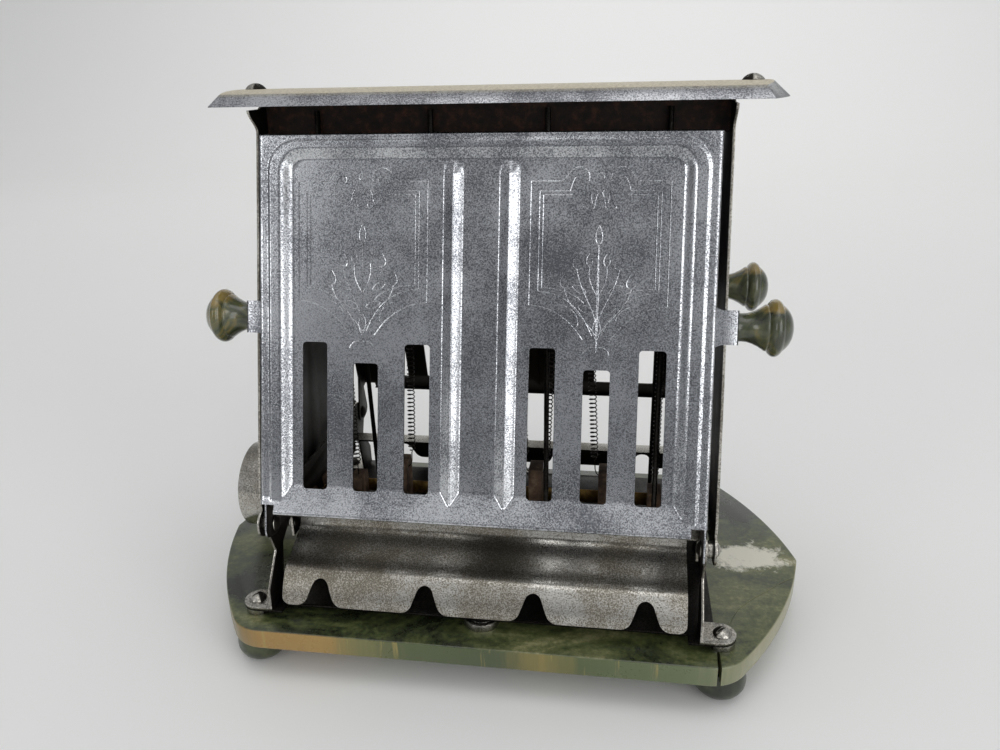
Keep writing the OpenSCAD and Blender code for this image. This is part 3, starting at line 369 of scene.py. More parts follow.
def cut_at(dx):
    """Height of a cut-out's edge at a distance from its middle."""
    if dx < CUT_TOP * math.sin(CUT_SIDE):
        return CUT_RISE - CUT_TOP + math.sqrt(CUT_TOP**2 - dx**2)
    if dx > CUT_HALF - CUT_FLARE * math.sin(CUT_SIDE):
        return CUT_FLARE - math.sqrt(CUT_FLARE**2 - min(CUT_FLARE, max(0, CUT_HALF - dx)) ** 2)
    from_top = dx - CUT_TOP * math.sin(CUT_SIDE)
    return CUT_RISE - CUT_TOP * (1 - math.cos(CUT_SIDE)) - from_top * math.tan(CUT_SIDE)


def apron_foot(x):
    """Height of the scalloped edge above the apron's foot."""
    inset = max(0.0, APRON_END_R - (APRON_HALF - abs(x)))
    return max(*[cut_at(abs(x - k)) for k in CUTS], APRON_END_R - math.sqrt(APRON_END_R**2 - inset * inset))


def solidified(bm, thickness):
    """A sheet given its thickness, away from the side that its faces look to."""
    mesh = bpy.data.meshes.new("work")
    bm.to_mesh(mesh)
    bm.free()
    o = bpy.data.objects.new("work", mesh)
    bpy.context.scene.collection.objects.link(o)
    m = o.modifiers.new("thick", "SOLIDIFY")
    m.thickness, m.offset, m.use_even_offset = thickness * MM, -1, True
    result = bmesh.new()
    result.from_mesh(o.evaluated_get(bpy.context.evaluated_depsgraph_get()).to_mesh())
    bpy.data.objects.remove(o)
    return result


def sheet_grid(columns, rows, point, keep=lambda s, t: True):
    """A sheet of quads through point(s, t) for every column s and row t, in millimetres."""
    bm = bmesh.new()
    grid = [[bm.verts.new(Vector(point(s, t)) * MM) for s in columns] for t in rows]
    for j in range(len(rows) - 1):
        for i in range(len(columns) - 1):
            if keep((columns[i] + columns[i + 1]) / 2, (rows[j] + rows[j + 1]) / 2):
                bm.faces.new((grid[j][i], grid[j][i + 1], grid[j + 1][i + 1], grid[j + 1][i]))
    bmesh.ops.delete(bm, geom=[v for v in bm.verts if not v.link_faces], context="VERTS")
    return bm


def apron_point(s, t):
    """t runs from 0 at the scalloped edge to 1 at the knee, 2 at the ledge and 3 at its inner edge."""
    if t <= 1:
        rise = apron_foot(s) + (KNEE - apron_foot(s)) * t
        return (s, -apron_y(rise), APRON_LOW + rise)
    if t <= 2:
        rise = KNEE + (LEDGE - KNEE) * (t - 1)
        return (s, -apron_y(rise), APRON_LOW + rise)
    return (s, -LEDGE_IN + LEDGE_W * (t - 2), APRON_LOW + LEDGE)


# The dullest of the plating: yellowed, with brown specks and a soft sheen
apron_steel = nickel("nickel_plate_dulled_apron", "#cfcdc6", "#6f695d", 1.0, 0.24, "#a9a394")
# Stations along the apron: round the edges of the cut-outs, across the middle ones, and at the round ends
turns = [CUT_SIDE * i / 9 for i in range(10)]
near = [CUT_TOP * math.sin(t) for t in turns] + [CUT_HALF - CUT_FLARE * math.sin(t) for t in turns]
near += [(near[9] * k + near[19] * (4 - k)) / 4 for k in (1, 2, 3)]
columns = [k + s * d for k in CUTS for s in (-1, 1) for d in near if s > 0 or d > 0]
columns += [k + d for k in CUTS[1:3] for d in (-9, -6, -3, 0, 3, 6, 9)]
columns += [s * (APRON_HALF - d) for s in (-1, 1) for d in (0, 0.1, 0.3, 0.55, 1.0, 1.7, 2.4, 3, 4)]
columns = sorted(set(round(x, 4) for x in columns))
rows = [i / 14 for i in range(14)] + [1 + i / 20 for i in range(20)] + [2, 2.1, 2.5, 3]
for body_side, name in ((1, "apron_front"), (-1, "apron_rear")):
    bm = solidified(sheet_grid(columns, rows, apron_point), FRAME_SHEET)
    # an ear at each end of the ledge, turned down against the leg bracket
    for s in (-1, 1):
        for x0, x1, low, high in ((76.3, 82.0, 52.35, 53.15), (81.2, 82.1, 43.2, 53.2)):
            flat = [(s * x, y) for x, y in ((x0, -41), (x1, -41), (x1, -33), (x0, -33))]
            prism(bm, flat, low, high)
    bmesh.ops.rotate(bm, verts=bm.verts, matrix=Matrix.Rotation(math.pi if body_side < 0 else 0, 3, "Z"))
    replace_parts(place_object(name + "_pressed", bm, apron_steel), name)

# THE DOORS
# Each is pressed from one sheet 0.8 mm thick: a raised border, a recess 1.8 mm deep, two hollow ridges,
# six slots, a lip that slopes out at the foot and is rolled under, and flanges turned back all round.
LEAN = math.radians(15.4)
HINGE_Y, HINGE_Z = 56, 58.2
HINGE_DOWN, HINGE_BACK = 10.3, 11.7
DOOR_Y = HINGE_Y + HINGE_BACK * math.cos(LEAN) - HINGE_DOWN * math.sin(LEAN)
DOOR_Z = HINGE_Z + HINGE_DOWN * math.cos(LEAN) + HINGE_BACK * math.sin(LEAN)
DOOR_HALF, DOOR_H, DOOR_SHEET = 82, 136.3, 0.8
BORDER, PRESS = 0.4, 1.8
RIDGE_X, RIDGE_HALF, RIDGE_RISE = 10, 3.7, 1.9
LIP_TOP, LIP_LOW, LIP_OUT = 7.5, -2.4, 1.8
upright = Matrix.Rotation(math.pi / 2 - LEAN, 4, "X")
on_door = Matrix.Translation(Vector((0, -DOOR_Y, DOOR_Z)) * MM) @ upright


def fold(s, edge, r=0.9):
    """Where a station lands when the sheet turns back at the edge: its place, and how far back it is."""
    past = abs(s) - (edge - r)
    if past <= 0:
        return s, 0.0
    a = min(past / r, math.pi / 2)
    straight = max(0.0, past - r * math.pi / 2)
    return math.copysign(edge - r + r * math.sin(a), s), r * (1 - math.cos(a)) + straight


def outside(x, v, half, top, r):
    """Distance outside a tall rounded outline, open at the foot; negative inside."""
    dx, dv = abs(x) - (half - r), v - (top - r)
    return math.hypot(max(dx, 0), max(dv, 0)) + min(max(dx, dv), 0) - r


def blend_max(a, b, k):
    """The higher of two heights, with a rounded hollow where they meet."""
    return max(a, b) + max(k - abs(a - b), 0) ** 2 / (4 * k)


def relief_at(x, v):
    """How far the pressed face stands out at x, v on the door."""
    band = BORDER * smooth(-outside(x, v, DOOR_HALF - 3.4, DOOR_H - 2, 11) / 1.0)
    rim = outside(x, v, DOOR_HALF - 7.8, DOOR_H - 5.3, 8)
    foot = outside(x, v, DOOR_HALF - 12.5, DOOR_H - 8.8, 5)
    t = 0 if rim >= 0 else (1 if foot <= 0 else -rim / (foot - rim))
    face = band + (-PRESS - band) * (0.5 * smooth(t) + 0.5 * t)
    for ridge in (-RIDGE_X, RIDGE_X):
        u = abs(x - ridge) / RIDGE_HALF
        if u < 1:
            crest = RIDGE_RISE * (1 - math.sqrt(u * u + 0.0016)) ** 1.2 if u < 0.999 else 0
            face = max(face, -PRESS + crest * min(1, max(0, (DOOR_H - 9.8 - v) / 4.5)))
    return blend_max(face, -PRESS + (LIP_TOP - v) * 2 * LIP_OUT / (LIP_TOP - LIP_LOW), 0.3)


HEM_COS, HEM_SIN = 0.94, 0.342


def door_point(s, t):
    """The sheet at x = s and v = t; t below the lip's edge runs round its rolled hem of 1 mm radius."""
    x, back = fold(s, DOOR_HALF)
    if t >= LIP_LOW:
        v, down = fold(t, DOOR_H)
        return (x, v, relief_at(x, min(v, DOOR_H - 0.8)) - back - down)
    a = LIP_LOW - t
    v = LIP_LOW - HEM_SIN + HEM_SIN * math.cos(a) - HEM_COS * math.sin(a)
    return (x, v, LIP_OUT - HEM_COS + HEM_COS * math.cos(a) + HEM_SIN * math.sin(a))


def stations(*spans):
    """Stations from one value to the next in equal steps: (start, first step count, next, count, ...)."""
    out = [spans[0]]
    for count, stop in zip(spans[1::2], spans[2::2]):
        start = out[-1]
        out += [start + (stop - start) * (i + 1) / count for i in range(count)]
    return out


# How far along the sheet the flanges' bends end
SIDE_BEND, TOP_BEND = 82.514, 136.814
half = stations(0, 3, 6, 22, 14, 14, 60, 12, 69, 18, 75, 4, 76.4, 3, 77.4, 5, 78.8, 4, 81.1)
half += stations(81.1, 5, SIDE_BEND, 6, 89.01)[1:]
columns = [-s for s in half[:0:-1]] + half
rows = stations(-5.6, 9, LIP_LOW, 4, 0, 24, 9, 36, 118, 36, 134.5, 2, 135.4, 5, TOP_BEND, 4, 139.9)
sheet = sheet_grid(columns, rows, door_point, keep=lambda s, t: not (
    (abs(s) > 76.4 and t < 0) or (abs(s) > SIDE_BEND and t > TOP_BEND)))
sheet = solidified(sheet, DOOR_SHEET)
SLOT_X, SLOT_PITCH, SLOT_HALF, SLOT_FOOT, SLOT_R = 22.7, 19.3, 4.7, 6.4, 1.3
SLOT_LONG, SLOT_SHORT = 55, 47.7
slots = bmesh.new()
for s in (-1, 1):
    for k, length in enumerate((SLOT_LONG, SLOT_SHORT, SLOT_LONG)):
        x, across = s * (SLOT_X + k * SLOT_PITCH), SLOT_HALF - SLOT_R
        low, high = SLOT_FOOT + SLOT_R, SLOT_FOOT + length - SLOT_R
        turns = [(x + across, high, 0), (x - across, high, 90)]
        turns += [(x - across, low, 180), (x + across, low, 270)]
        prism(slots, [p for cx, cv, a in turns for p in arc((cx, cv), SLOT_R, a, a + 90, 6)], -12, 6)
door = cut(sheet, slots)

# Ears round the hinge pins, and straps turned out from the flanges and back along the end panels
EAR_IN, EAR_OUT = 81.25, 81.95
PIN_BORE = 1.66
ear = [(9, -3.3), (6, -2.3), (0, -3.3)] + arc((-11.3, -6.9), 3.6, 90, 180, 8)
ear += arc((-HINGE_DOWN, -HINGE_BACK), 4.6, 180, 300, 12) + [(0, -11.7), (9, -7.4)]
KNOB_X, KNOB_V, KNOB_BACK = 90.5, 70, 16.7
STRAP_FACE, STRAP_SHEET, STRAP_R, STRAP_HALF = 6.5, 0.9, 1.2, 6
# Both are drawn flat and then turned: the ear from v, out, x, the strap by its fold
stood_up = {s: Matrix(((0, 0, s, 0), (1, 0, 0, 0), (0, 1, 0, 0), (0, 0, 0, 1))) for s in (-1, 1)}
for s in (-1, 1):
    plate, bore = bmesh.new(), bmesh.new()
    prism(plate, ear, EAR_IN, EAR_OUT)
    bmesh.ops.bevel(plate, geom=plate.edges[:], offset=0.12 * MM, segments=2, profile=0.5,
        affect="EDGES", material=-1)
    prism(bore, arc((-HINGE_DOWN, -HINGE_BACK), PIN_BORE, 0, 345, 23), 75, 90)
    plate = cut(plate, bore)
    bmesh.ops.transform(plate, verts=plate.verts, matrix=stood_up[s])
    strap = bmesh.new()
    bend = KNOB_X - STRAP_R
    reach = bend + STRAP_R * math.pi / 2 + 9.0
    root = [(81.4, 7.8), (83.2, 6.6), (85, STRAP_HALF), (reach, STRAP_HALF)]
    flat = [(x, -v) for x, v in root] + arc((reach, 0), STRAP_HALF, -80, 80, 16) + root[::-1]
    strap.faces.new([strap.verts.new((x, v, 0)) for x, v in flat])
    for i in range(7):
        at = (bend + STRAP_R * math.pi / 2 * i / 6, 0, 0)
        parts = strap.verts[:] + strap.edges[:] + strap.faces[:]
        bmesh.ops.bisect_plane(strap, geom=parts, plane_co=at, plane_no=(1, 0, 0))
    for p in strap.verts:
        x, back = fold(p.co.x, KNOB_X, STRAP_R)
        p.co = Vector((s * x, KNOB_V + p.co.y, -STRAP_FACE - back)) * MM
    if s < 0:
        bmesh.ops.reverse_faces(strap, faces=strap.faces)
    strap = solidified(strap, STRAP_SHEET)
    bore = bmesh.new()
    prism(bore, arc((KNOB_V, -KNOB_BACK), HOLE_R, 0, 345, 23), 85, 95)
    bmesh.ops.transform(bore, verts=bore.verts, matrix=stood_up[s])
    if s < 0:
        bmesh.ops.reverse_faces(bore, faces=bore.faces)
    strap = cut(strap, bore)
    for part in (plate, strap):
        mesh = bpy.data.meshes.new("part")
        part.to_mesh(mesh)
        part.free()
        door.from_mesh(mesh)

# Ornament rolled into the recess: a double-lined frame, a pair of bells under a yoke, and a spray of leaves.
# Each stroke is a list of bezier points x, v, measured from the middle of its panel; both halves are alike.
STROKES = [
    # the outer line of the frame and its scroll
    [(24, 76.5), (24, 90), (24, 105), (24, 119.5)],
    [(24, 119.5), (20, 119.5), (17, 119.5), (13.3, 119.5)],
    [(13.3, 119.5), (11.5, 120.5), (10.5, 124.4), (7, 124.3), (4.2, 124.2), (3.4, 121.5), (4.0, 119.4)],
    # the middle line and its scroll
    [(20.9, 81.4), (20.9, 93), (20.9, 105), (20.9, 116.1)],
    [(20.9, 116.1), (17, 116.1), (14, 116.1), (10.4, 116.1)],
    [(10.4, 116.1), (9.6, 119.4), (8.7, 121.6), (7.0, 121.4), (5.6, 121.2), (5.5, 119.8), (6.4, 118.9)],
    # the inner line
    [(19.6, 82.6), (19.6, 93), (19.6, 105), (19.6, 114.8)],
    [(19.6, 114.8), (16, 114.8), (13, 114.8), (9.4, 114.8)],
    # the three lines' sweep in to the foot of the spray
    [(24, 76.5), (17, 76.6), (9.5, 72), (5.4, 65.5), (4.2, 63.4), (3.0, 64.6), (3.6, 66.6)],
    [(20.9, 81.4), (13, 81.2), (6, 77), (1.6, 66)],
    [(19.6, 82.6), (12.5, 82.6), (7.5, 80.6), (4.6, 77.4)],
    # the curl beside it
    [(11.4, 76.4), (8.4, 75.6), (6.2, 72.6), (6.6, 70), (7.2, 68.2), (9.0, 68.6), (9.4, 70.4)],
    # a bell
    [(0.7, 115.4), (1.4, 117.4), (3.2, 117.2), (3.7, 114.6), (4.1, 112.4), (4.4, 111.4), (5.8, 111.0)],
    [(5.8, 111.0), (5.4, 109.8), (4.2, 110.0), (3.6, 110.9), (3.0, 109.4), (1.9, 109.8), (1.8, 111.4)],
    [(1.8, 111.4), (1.7, 113), (1.2, 114.4), (0.7, 115.4)],
    [(3.0, 115.2), (3.2, 113.8), (2.8, 112.6), (2.6, 111.8)],
    # the bead of the yoke
    [(0, 122.2), (0.9, 122.2), (1.2, 121.5), (1.2, 121.0), (1.2, 120.5), (0.9, 119.8), (0, 119.8)],
    # the stem and its bud
    [(0, 60.4), (0.4, 72), (0.3, 84), (0, 97.5)],
    [(0, 97.5), (1.7, 99), (1.4, 101.8), (0, 104.4)],
    # the upper flower
    [(0, 70), (2.4, 78), (6.2, 82), (7.4, 89.4)],
    [(7.4, 89.4), (5.4, 88.4), (4.8, 91), (7.0, 94.4)],
    [(7.4, 89.4), (9.4, 89.6), (9.2, 92.4), (7.0, 94.4)],
    # the lower flower
    [(0.2, 66), (4.2, 72.4), (10.6, 76), (11.6, 82.6)],
    [(11.6, 82.6), (9.6, 82.6), (9.2, 85), (11.4, 87.6)],
    [(11.6, 82.6), (13.8, 83.2), (13.4, 86), (11.4, 87.6)],
    # the small bud
    [(0.2, 80), (2.6, 84), (3.4, 86), (3.0, 90.2)],
    [(3.0, 90.2), (1.4, 90.6), (1.6, 93), (3.0, 94.8)],
    [(3.0, 90.2), (4.6, 91), (4.4, 93.2), (3.0, 94.8)],
    # two leaves
    [(3.9, 81), (5.6, 80.4), (7.6, 81), (8.8, 83.4)],
    [(8.8, 83.4), (7.0, 84.4), (5.0, 83.4), (3.9, 81)],
    [(1.3, 74.6), (3.4, 73.4), (5.6, 74.2), (6.8, 76.4)],
    [(6.8, 76.4), (4.8, 77.2), (2.6, 76.6), (1.3, 74.6)],
    # the curls at the foot
    [(0, 62), (2.4, 62.6), (4.4, 61.4), (4.6, 59.4)],
    [(0, 64.5), (1.8, 67.4), (1.6, 70), (0.2, 72.2)],
]
LINE_R, LINE_AT = 0.25, -1.88
for middle in (-43.4, 41.5):
    for s in (-1, 1):
        for stroke in STROKES:
            points = [(s * x, v) for x, v in stroke]
            line = []
            for k in range(0, len(points) - 1, 3):
                a, b, c, d = [Vector((middle + x, v, LINE_AT)) for x, v in points[k : k + 4]]
                line += interpolate_bezier(a, b, c, d, 10)[1 if line else 0 :]
            tube(door, line, LINE_R, 6)

# The brightest of the plating: a mirror under fine specks, grey, with a faint blue that is a painted
# reflection of the bluish room
door_steel = nickel("nickel_plate_dulled_door", "#d3d5d8", "#5f6166", 0.9, 0.13, "#a9abaf")
bmesh.ops.transform(door, verts=door.verts, matrix=on_door)
for name, turn in (("front", 0), ("rear", math.pi)):
    bm = door.copy()
    bmesh.ops.rotate(bm, verts=bm.verts, matrix=Matrix.Rotation(turn, 3, "Z"))
    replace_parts(place_object("pressed_door_" + name, bm, door_steel, name + "_door", 30), "door_" + name)

# THE KNOBS
# Turned from rod of the marbled resin and polished: a waisted neck, a bead, a full rim, a ledge and a dome.
# Dark green clouds of 7 to 15 mm under a high gloss, with an amber block across the top of each rim.
knob_resin, shader = new_material("turned_resin_green_amber")
place = add(knob_resin, "ShaderNodeTexCoord", out="Object")
drawn = add(knob_resin, "ShaderNodeMapping", {"Vector": place, "Scale": (70, 150, 60),
    "Rotation": (0.5, 0.4, 0.2)})
cloud = add(knob_resin, "ShaderNodeTexNoise", {"Vector": drawn, "Scale": 1.0, "Detail": 5,
    "Roughness": 0.55, "Distortion": 1.4})
colour = add(knob_resin, "ShaderNodeValToRGB", {"Fac": cloud}, [
    (0.30, "#23261b"), (0.44, "#363b28"), (0.54, "#4c5036"), (0.63, "#6b6238"), (0.74, "#454c33")])
height = add(knob_resin, "ShaderNodeSeparateXYZ", {"Vector": place}, out="Z")
ragged = add(knob_resin, "ShaderNodeMath", {0: cloud, 1: 0.006, 2: height}, operation="MULTIPLY_ADD")
band = add(knob_resin, "ShaderNodeMapRange", {"Value": ragged, "From Min": 0.1436, "From Max": 0.1452,
    "To Max": 0.85})
colour = add(knob_resin, "ShaderNodeMix", {0: band, 6: colour, 7: linear("#85713a")}, out=2,
    data_type="RGBA")
dust = add(knob_resin, "ShaderNodeTexNoise", {"Vector": place, "Scale": 600.0, "Detail": 3})
dulled = add(knob_resin, "ShaderNodeMapRange", {"Value": dust, "To Min": 0.12, "To Max": 0.32})
fill(knob_resin, shader, {"Base Color": colour, "Roughness": dulled, "Coat Weight": 0.5,
    "Coat Roughness": 0.1, "Subsurface Weight": 0.08, "Subsurface Scale": 0.002})
# Radius against distance from the strap
PROFILE = [
    # the neck
    (HOLE_R, 0), (5.3, 0), (5.2, 0.5), (5.08, 2), (5.2, 3.8), (5.8, 5.8), (6.8, 7.8), (7.7, 9.2),
    (8.15, 9.8),
    # the bead and its groove
    (8.35, 10.2), (8.2, 10.65), (8.25, 10.85),
    # the rim
    (9.1, 11.3), (9.95, 12.1), (10.33, 13.1), (10.3, 13.9), (9.85, 14.8), (9.1, 15.5),
    # the ledge and the dome
    (8.5, 15.85), (8.3, 16.1), (8.05, 16.4), (7.3, 17.2), (6.0, 18.3), (4.2, 19.2), (2.2, 19.7),
    (0.001, 19.8),
]
for side in ("left", "right"):
    for which in ("front", "rear"):
        bm = bmesh.new()
        line = [bm.verts.new((h * MM, r * MM, 0)) for r, h in [(HOLE_R, 9)] + PROFILE]
        edges = [bm.edges.new(pair) for pair in zip(line, line[1:])]
        bmesh.ops.spin(bm, geom=line + edges, axis=(1, 0, 0), cent=(0, 0, 0), steps=96,
            angle=2 * math.pi, use_merge=True)
        bmesh.ops.remove_doubles(bm, verts=bm.verts, dist=2e-6)
        mouth = [e for e in bm.edges if len(e.link_faces) == 1]
        if mouth:
            bmesh.ops.holes_fill(bm, edges=mouth)
        knob_at = on_door @ Matrix.Translation(Vector((KNOB_X, KNOB_V, -KNOB_BACK)) * MM)
        bmesh.ops.transform(bm, verts=bm.verts, matrix=knob_at)
        if (side == "left") != (which == "rear"):
            bmesh.ops.scale(bm, vec=(-1, 1, 1), verts=bm.verts)
        if which == "rear":
            bmesh.ops.rotate(bm, verts=bm.verts, matrix=Matrix.Rotation(math.pi, 3, "Z"))
        name = f"knob_{which}_{side}"
        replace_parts(place_object(name + "_turned", bm, knob_resin, which + "_door", 40), name)

# THE TOP PLATE
# A shallow tray pressed from the plated sheet. Dust has baked on to its flat top as a dull tan skin,
# and the sloped sides are the most pitted plating of all, dark and half dull.
top_steel = nickel("nickel_plate_dusty_top", "#b0b1b4", "#56575b", 1.0, 0.26, "#85868b")
shader = top_steel.node_tree.nodes["Principled BSDF"]
facing = add(top_steel, "ShaderNodeNewGeometry", out="Normal")
upward = add(top_steel, "ShaderNodeSeparateXYZ", {"Vector": facing}, out="Z")
flat = add(top_steel, "ShaderNodeMapRange", {"Value": upward, "From Min": 0.86, "From Max": 0.97})
place = add(top_steel, "ShaderNodeTexCoord", out="Object")
grime = add(top_steel, "ShaderNodeTexNoise", {"Vector": place, "Scale": 900.0, "Detail": 4,
    "Roughness": 0.7})
dusty = add(top_steel, "ShaderNodeValToRGB", {"Fac": grime}, [(0.35, "#a39a88"), (0.52, "#cfc7b2"),
    (0.7, "#dcd5c2")])
plating = shader.inputs["Base Color"].links[0].from_socket
colour = add(top_steel, "ShaderNodeMix", {0: flat, 6: plating, 7: dusty}, out=2, data_type="RGBA")
rough = shader.inputs["Roughness"].links[0].from_socket
duller = add(top_steel, "ShaderNodeMath", {0: flat, 1: 0.25, 2: rough}, operation="MULTIPLY_ADD")
fill(top_steel, shader, {"Base Color": colour, "Roughness": duller})
copy_of("top_plate", top_steel, 0.3)

# INSIDE
# Bottom plate and bread guards are bare steel, darkened by heat to a dull near black.
# The rail over the element is bare steel too, and rusted: dark brown, rough and without gloss.
# The last colour is the painted shade on the sides that look inwards
dark_steel = nickel("darkened_steel", "#3c3a37", "#191716", 0.9, 0.36, "#2a2724", "#1d1b19")
for name in ("bottom_plate", "bread_guard_front", "bread_guard_rear"):
    copy_of(name, dark_steel, 0.15)
rusty, shader = new_material("rusty_steel")
place = add(rusty, "ShaderNodeTexCoord", out="Object")
scale = add(rusty, "ShaderNodeTexNoise", {"Vector": place, "Scale": 330.0, "Detail": 6, "Roughness": 0.7})
colour = add(rusty, "ShaderNodeValToRGB", {"Fac": scale}, [(0.36, "#120b07"), (0.52, "#24150d"),
    (0.68, "#4a2b1a")])
crust = add(rusty, "ShaderNodeBump", {"Height": scale, "Strength": 0.5, "Distance": 0.0004})
fill(rusty, shader, {"Base Color": colour, "Roughness": 0.8, "Normal": crust})
copy_of("upper_rail", rusty, 0.2)

# Insulators and bushes: unglazed ceramic, browned by heat and dust
ceramic, shader = new_material("browned_ceramic")
place = add(ceramic, "ShaderNodeTexCoord", out="Object")
burnt = add(ceramic, "ShaderNodeTexNoise", {"Vector": place, "Scale": 120.0, "Detail": 5,
    "Roughness": 0.65})
colour = add(ceramic, "ShaderNodeValToRGB", {"Fac": burnt}, [(0.38, "#3b2b20"), (0.55, "#6d5643"),
    (0.7, "#9c866c")])
grit = add(ceramic, "ShaderNodeTexNoise", {"Vector": place, "Scale": 1800.0, "Detail": 3})
gritty = add(ceramic, "ShaderNodeBump", {"Height": grit, "Strength": 0.25, "Distance": 0.0002})
fill(ceramic, shader, {"Base Color": colour, "Roughness": 0.75, "Normal": gritty})
for name in ("upper_insulators", "lower_insulators", "pin_bushes"):
    copy_of(name, ceramic, 0.3)

# Terminal pins, nuts and strips: brass, tarnished brown
brass, shader = new_material("tarnished_brass")
place = add(brass, "ShaderNodeTexCoord", out="Object")
tarnish = add(brass, "ShaderNodeTexNoise", {"Vector": place, "Scale": 220.0, "Detail": 5,
    "Roughness": 0.65})
colour = add(brass, "ShaderNodeValToRGB", {"Fac": tarnish}, [(0.35, "#5b4526"), (0.55, "#957846"),
    (0.72, "#b79a5e")])
dulled = add(brass, "ShaderNodeMapRange", {"Value": tarnish, "To Min": 0.5, "To Max": 0.25})
fill(brass, shader, {"Base Color": colour, "Metallic": 1.0, "Roughness": dulled})
for name in ("terminal_pins", "terminal_nuts", "lead_strap", "bus_bar"):
    copy_of(name, brass, 0.15)

# THE HEATING COIL
# One resistance wire 0.48 mm thick, wound to 3.5 mm across and strung in zigzag over the hooks.
# Heating has left it grey and dull, with little gloss.
wire, shader = new_material("oxidised_resistance_wire")
place = add(wire, "ShaderNodeTexCoord", out="Object")
scorch = add(wire, "ShaderNodeTexNoise", {"Vector": place, "Scale": 160.0, "Detail": 4})
colour = add(wire, "ShaderNodeValToRGB", {"Fac": scorch}, [(0.35, "#25211e"), (0.55, "#3f3a36"),
    (0.72, "#5c554e")])
fill(wire, shader, {"Base Color": colour, "Metallic": 0.9, "Roughness": 0.45})
HIGH, LOW = 198.0, 57.0
highs = [(x, HIGH, 1) for x in (-62, -30, 0, 30, 62)]
lows = [(x, LOW, -1) for x in (-45, -15, 15, 45)]
hooks = [h for pair in zip(highs, lows + [None]) for h in pair if h]
BEND = 4.4
PLAIN = 4
WIRE_R = 0.24
END_X, END_TOP, END_FOOT = 66, 53, 46


def coiled(a, b, r=1.52, pitch=1.9):
    """Points of a coil from a to b, drawn out straight at both ends."""
    along = (b - a).normalized()
    across = Vector((along.z, 0, -along.x))
    wound = (b - a).length - 2 * PLAIN
    turns = round(wound / pitch)
    out = []
    for i in range(turns * 8 + 1):
        grow, angle = min(1, min(i, turns * 8 - i) / 8), math.pi * i / 4
        side = across * math.cos(angle) + Vector((0, math.sin(angle), 0))
        out.append(a + along * (PLAIN + wound * i / (turns * 8)) + grow * r * side)
    return out


def at_hook(x, z, s):
    """The wire's bend through one insulator."""
    return [Vector((x + dx, 0, z - s * dz)) for dx, dz in (
        (-BEND, 3), (-BEND + 0.5, 1.2), (-BEND + 1.6, 0), (BEND - 1.6, 0), (BEND - 0.5, 1.2), (BEND, 3))]


here = Vector((-END_X, 0, END_TOP))
route = [Vector((-END_X, 0, END_FOOT)), here]
for hook in hooks:
    bend = at_hook(*hook)
    route += coiled(here, bend[0]) + bend
    here = bend[-1]
last = Vector((END_X, 0, END_TOP))
route += coiled(here, last) + [last, Vector((END_X, 0, END_FOOT))]
bm = bmesh.new()
tube(bm, route, WIRE_R, 5)
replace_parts(place_object("wound_coil", bm, wire, sharp=180), "heating_coil")

# CAMERA, FLOOR AND LIGHT
# The camera stands where the photograph was taken from. The toaster stands on a pale sheet that sweeps up
# into a wall, between three tall windows in front and a soft light overhead.
camera = bpy.data.objects.new("camera", bpy.data.cameras.new("camera"))
bpy.context.scene.collection.objects.link(camera)
camera.data.sensor_width = 36
camera.data.lens = 29.75
# How the level camera is turned: a rotation vector, in radians
angle = Vector((0.35517, 0.00597, -0.15217))
into = Matrix(((1, 0, 0), (0, 0, -1), (0, 1, 0))) @ Matrix.Rotation(angle.length, 3, angle)
facing = Matrix((into[0], -into[1], -into[2])).transposed().to_4x4()
camera.matrix_world = Matrix.Translation(Vector((51.2978, -322.5525, 222.67)) * MM) @ facing
bpy.context.scene.camera = camera

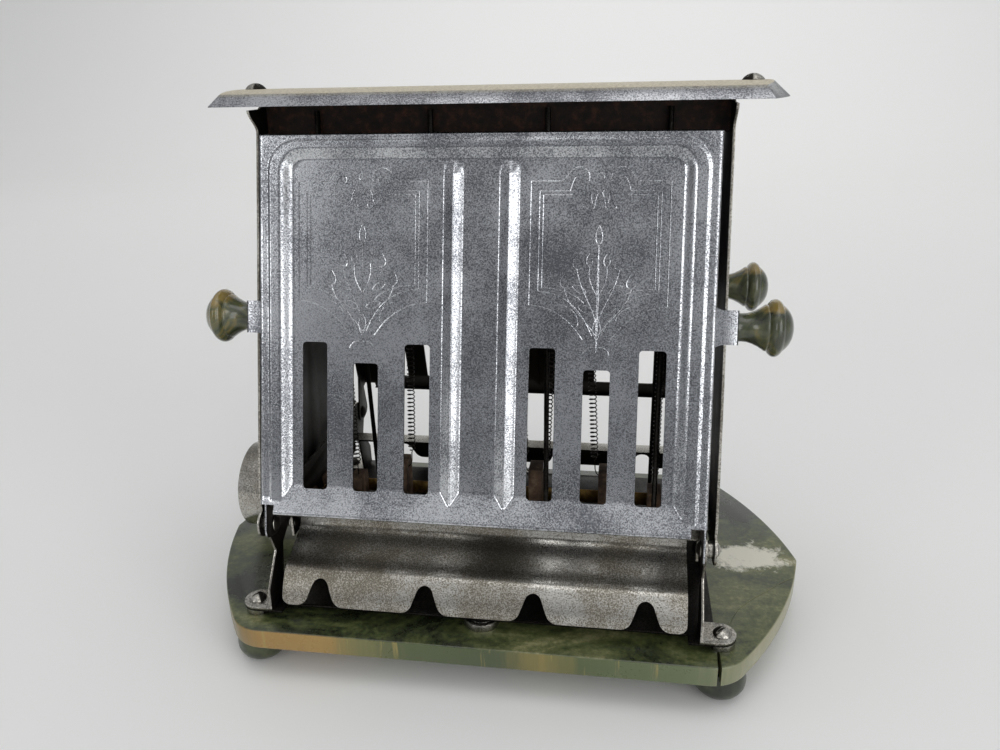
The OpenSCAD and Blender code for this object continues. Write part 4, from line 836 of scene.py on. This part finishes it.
# The sheet, in metres: level to BEND_Y, then round a bend of SWEEP_R and up
FLOOR_HALF, BEND_Y, SWEEP_R, WALL_TOP = 8, 1.4, 0.8, 3
sweep = [(-FLOOR_HALF, 0), (BEND_Y, 0)] + arc((BEND_Y, SWEEP_R), SWEEP_R, -82, 0, 12)
sweep += [(BEND_Y + SWEEP_R, WALL_TOP)]
bm = bmesh.new()
ends = [[bm.verts.new((x, y, z)) for y, z in sweep] for x in (-FLOOR_HALF, FLOOR_HALF)]
for i in range(len(sweep) - 1):
    bm.faces.new((ends[0][i], ends[1][i], ends[1][i + 1], ends[0][i + 1])).smooth = True
mesh = bpy.data.meshes.new("floor")
bm.to_mesh(mesh)
floor = bpy.data.objects.new("floor", mesh)
bpy.context.scene.collection.objects.link(floor)
pale, shader = new_material("pale_floor")
fill(pale, shader, {"Base Color": linear("#e4e4e2"), "Roughness": 0.6})
mesh.materials.append(pale)

# The room: dim at the height of the toaster, as plated sheet needs, and bright overhead
world = bpy.data.worlds.new("studio")
bpy.context.scene.world = world
world.use_nodes = True
direction = add(world, "ShaderNodeTexCoord", out="Generated")
height = add(world, "ShaderNodeSeparateXYZ", {"Vector": direction}, out="Z")
room = add(world, "ShaderNodeValToRGB", {"Fac": height}, [(0.0, 0.26), (0.18, 0.30), (0.45, 0.5),
    (0.7, 0.72), (1.0, 0.85)])
tint = add(world, "ShaderNodeMix", {0: 0.06, 6: room, 7: linear("#5a78b0")}, out=2, data_type="RGBA")
fill(world, world.node_tree.nodes["Background"], {"Color": tint})


def lamp(name, place, wide, tall, power, aim=(0, 0, 0.1)):
    """A soft oblong lamp that faces a point."""
    data = bpy.data.lights.new(name, "AREA")
    data.shape, data.size, data.size_y, data.energy = "RECTANGLE", wide, tall, power
    o = bpy.data.objects.new(name, data)
    bpy.context.scene.collection.objects.link(o)
    o.location = place
    o.rotation_euler = (Vector(aim) - Vector(place)).to_track_quat("-Z", "Y").to_euler()


lamp("window_right", (1.5, -1.17, 0.73), 0.75, 1.42, 8.5)
lamp("window_middle", (0.83, -1.77, 0.73), 0.54, 1.42, 5.8)
lamp("window_left", (-1.17, -1.58, 0.75), 0.45, 0.9, 3.6)
lamp("ceiling", (0.1, -0.2, 1.4), 1.0, 1.0, 3.0)
lamp("backdrop", (0, 1.1, 1.5), 2.2, 0.6, 10, aim=(0, 2.3, 0.6))

bpy.context.scene.view_settings.view_transform = "Standard"
